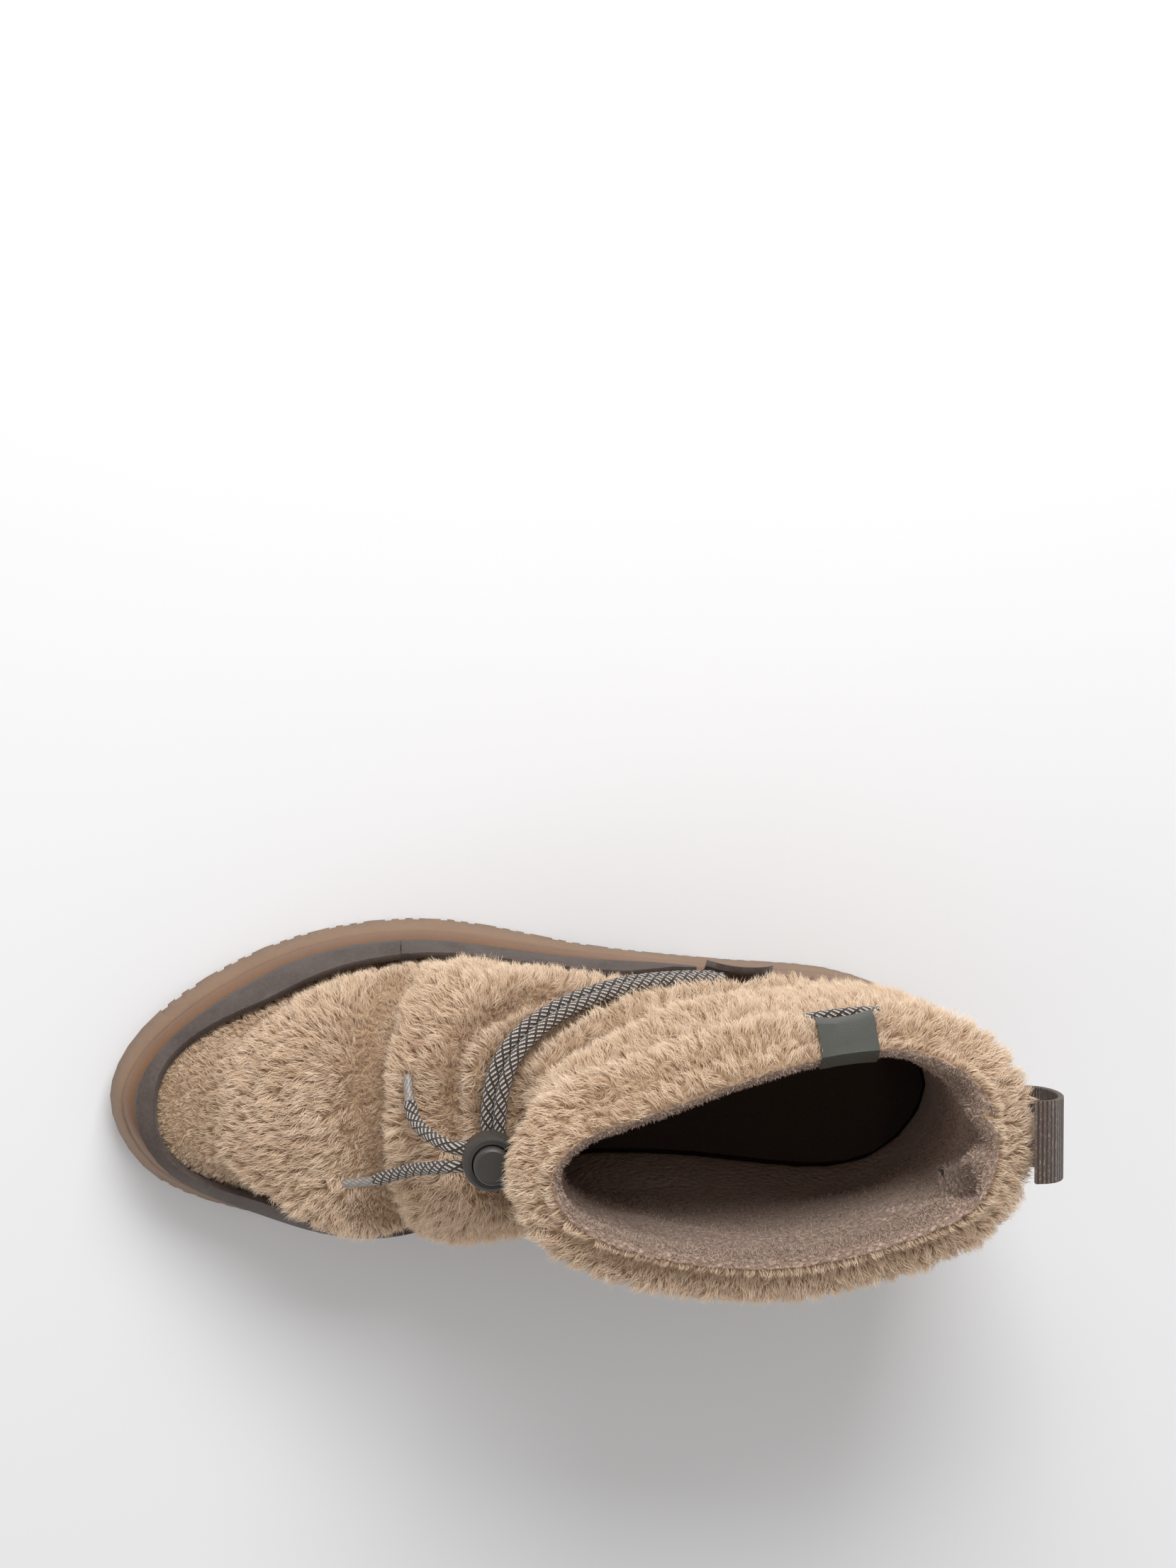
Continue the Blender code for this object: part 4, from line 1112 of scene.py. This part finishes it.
def makeLiningPile(values):
    rng = np.random.default_rng(values["seed"])
    inTriangles = upperTriangles[~upperOut]
    middle = upperPoints[inTriangles].mean(1)
    weight = np.where(middle[:, 2] > 0.060, 0.35, 0.0) + 1.6 * (middle[:, 2] > 0.140)
    roots, normals = scatter(upperPoints, inTriangles, upperNormals, values["blades"], rng, weight)
    lean = unit(normals + rng.normal(0, 0.55, normals.shape))
    length = values["length"] * rng.uniform(0.5, 1.2, len(roots))
    middles = roots + lean * (length * 0.5)[:, None]
    tips = middles + unit(lean + rng.normal(0, 0.6, normals.shape)) * (length * 0.5)[:, None]
    across = unit(np.cross(lean, rng.normal(0, 1, normals.shape)))
    tint = rng.random((len(roots), 2))
    material = makePileMaterial("liningPile", values["rootShade"], values["mid"], values["light"], 0.15)
    mesh = bladesMesh("liningPile", roots, middles, tips, np.full(len(roots), values["width"]), across, tint)
    addPiece("liningPile", mesh, material)
    report("lining")


makeLiningPile(liningValues)


# the runs of the drawcord in their grooves, and the cord round the collar


def centreLine(node, diameter, sides=8):
    # the tube's rings gathered along its length, from the end that lies furthest from the middle
    left = np.unique(np.round(pointsOf(nodes[node].data), 6), axis=0)
    end = left[np.argmax(np.linalg.norm(left - left.mean(0), axis=1))]
    line, heading = [], None
    here = left[np.argsort(np.linalg.norm(left - end, axis=1))[:sides]].mean(0)
    while len(left) >= sides:
        away = np.linalg.norm(left - here, axis=1)
        near = np.argsort(away)[:sides]
        centre = left[near].mean(0)
        line.append(centre)
        left = np.delete(left, near, axis=0)
        if heading is not None:
            heading = unit(centre - line[-2])
        elif len(line) > 1:
            heading = unit(line[-1] - line[-2])
        here = centre + (heading * diameter * 1.9 if heading is not None else 0)
    return np.array(line)


def makeRuns():
    runs = {
        "drawcord_lower_run": "drawcordLowerRun",
        "drawcord_upper_run": "drawcordUpperRun",
        "collar_cord": "collarCord",
    }
    for node, label in runs.items():
        line = centreLine(node, cordValues["diameter"])
        count = max(20, int(lengthOf(line) / 0.0016))
        points = frontCorner(smoothLine(line, count) - planToWorld) + planToWorld
        mesh = tubeMesh(label, points, cordValues["diameter"] / 2)
        addPiece(label, mesh, cordMaterial, stands=[node])
        report(f"{label} {lengthOf(points) * 1000:.0f} mm from {len(line)} rings")


makeRuns()


# cord stopper and its button

stopperValues = {"base": srgb(46, 43, 40), "light": srgb(62, 58, 54)}


def makePlasticMaterial(values):
    material, tree, shader = newMaterial("darkPlastic", 0.42, Specular_IOR_Level=0.45)
    patches = patchesOf(tree, 160.0, 12.0)
    paint(tree, shader, mixColours(tree, patches, values["base"], values["light"]))
    link(tree, scaled(tree, patches, 0.18, 0.32), shader.inputs["Roughness"])
    placeBump(tree, shader, noiseOf(tree, 3000.0, 1.0), 0.00008, 0.5)
    return material


plasticMaterial = makePlasticMaterial(stopperValues)
for nodeName in ("cord_stopper", "stopper_button"):
    nodes[nodeName].data.materials.clear()
    nodes[nodeName].data.materials.append(plasticMaterial)
report("stopper")


# leather loop over the collar

leatherValues = {"base": srgb(72, 73, 66), "dark": srgb(54, 54, 49)}


def makeLeather(values):
    material, tree, shader = newMaterial("loopLeather", 0.5, Specular_IOR_Level=0.4, Coat_Weight=0.1)
    patches = patchesOf(tree, 120.0, 14.0)
    paint(tree, shader, mixColours(tree, patches, values["dark"], values["base"]))
    link(tree, scaled(tree, patches, 0.2, 0.38), shader.inputs["Roughness"])
    placeBump(tree, shader, cellsOf(tree, 1500.0), 0.00015, 0.6)
    mesh = weldedCopy("side_loop", name="sideLoop")
    setPoints(mesh, frontCorner(pointsOf(mesh) - planToWorld) + planToWorld)
    mesh.set_sharp_from_angle(angle=math.radians(75))
    bevelEdge(addPiece("sideLoop", mesh, material, stands=["side_loop"]))


makeLeather(leatherValues)


# ribbed webbing pull at the back

webbingValues = {
    "base": srgb(98, 83, 75),
    # dark: the painted shade in the rib valleys
    "dark": srgb(56, 46, 41),
    "thread": srgb(168, 150, 136),
    "rib": 0.0013,
    "turnRadius": 0.016,
}


def makeWebbing(values):
    material, tree, shader = newMaterial("ribbedWebbing", 0.85, Sheen_Weight=0.2, Specular_IOR_Level=0.25)
    travel = attributeOf(tree, "tapeTravel").outputs["Fac"]
    wave = mathNode(tree, "SINE", scaled(tree, travel, 2 * math.pi / values["rib"]))
    ribs = scaled(tree, wave, 0.5, 0.5)
    threads = noiseOf(tree, 2400.0, 1.0, (1.0, 0.35, 1.0))
    # the rib valleys are painted dark and the crests lighter: painted shade between the ribs
    colour = mixColours(tree, ribs, values["dark"], values["base"])
    standing = scaled(tree, ribs, 0.5)
    fleck = scaled(tree, mathNode(tree, "GREATER_THAN", threads, 0.60), standing)
    paint(tree, shader, mixColours(tree, fleck, colour, values["thread"]))
    placeBump(tree, shader, scaled(tree, threads, 0.3, ribs), 0.0005, 0.8)
    mesh = weldedCopy("pull_loop", name="pullLoop")
    points = pointsOf(mesh)
    low, high = points.min(0), points.max(0)
    turn = np.arctan2(points[:, 2] - (low[2] + high[2]) / 2, high[0] - points[:, 0])
    setAttribute(mesh, "tapeTravel", turn * values["turnRadius"])
    mesh.set_sharp_from_angle(angle=math.radians(50))
    bevelEdge(addPiece("pullLoop", mesh, material, stands=["pull_loop"]))


makeWebbing(webbingValues)
report("loops")


# floor and light

# each lamp: its place, its size and its power
lightValues = {
    "floor": (0.80, 0.80, 0.81),
    "floorHalf": 4,
    "key": ((-0.10, -0.90, 1.00), 0.7, 14.5),
    "fill": ((0.90, 0.40, 1.10), 1.2, 2.4),
    "world": 0.52,
}


def makeStage(values):
    half = values["floorHalf"]
    corners = np.array([(-half, -half, 0), (half, -half, 0), (half, half, 0), (-half, half, 0)], float)
    mesh = meshFromArrays("floor", corners, [np.array([[0, 1, 2, 3]])])
    material, tree, shader = newMaterial("floorPaper", 0.85, Specular_IOR_Level=0.2)
    patches = patchesOf(tree, 3.0)
    dull = tuple(v * 0.985 for v in values["floor"])
    paint(tree, shader, mixColours(tree, patches, dull, values["floor"]))
    floor = bpy.data.objects.new("floor", mesh)
    mesh.materials.append(material)
    bpy.context.scene.collection.objects.link(floor)
    for name in ("key", "fill"):
        place, size, power = values[name]
        lamp = bpy.data.lights.new(name, "AREA")
        lamp.shape = "SQUARE"
        lamp.size = size
        lamp.energy = power
        item = bpy.data.objects.new(name, lamp)
        bpy.context.scene.collection.objects.link(item)
        item.location = place
        item.rotation_mode = "QUATERNION"
        item.rotation_quaternion = (Vector(place) - Vector((0, 0, 0.05))).to_track_quat("Z", "Y")
    sky = bpy.data.worlds.new("studio")
    sky.use_nodes = True
    sky.node_tree.nodes["Background"].inputs["Color"].default_value = (1.0, 0.99, 0.98, 1)
    sky.node_tree.nodes["Background"].inputs["Strength"].default_value = values["world"]
    bpy.context.scene.world = sky


makeStage(lightValues)
bpy.context.scene.view_settings.view_transform = "Standard"
report("stage")
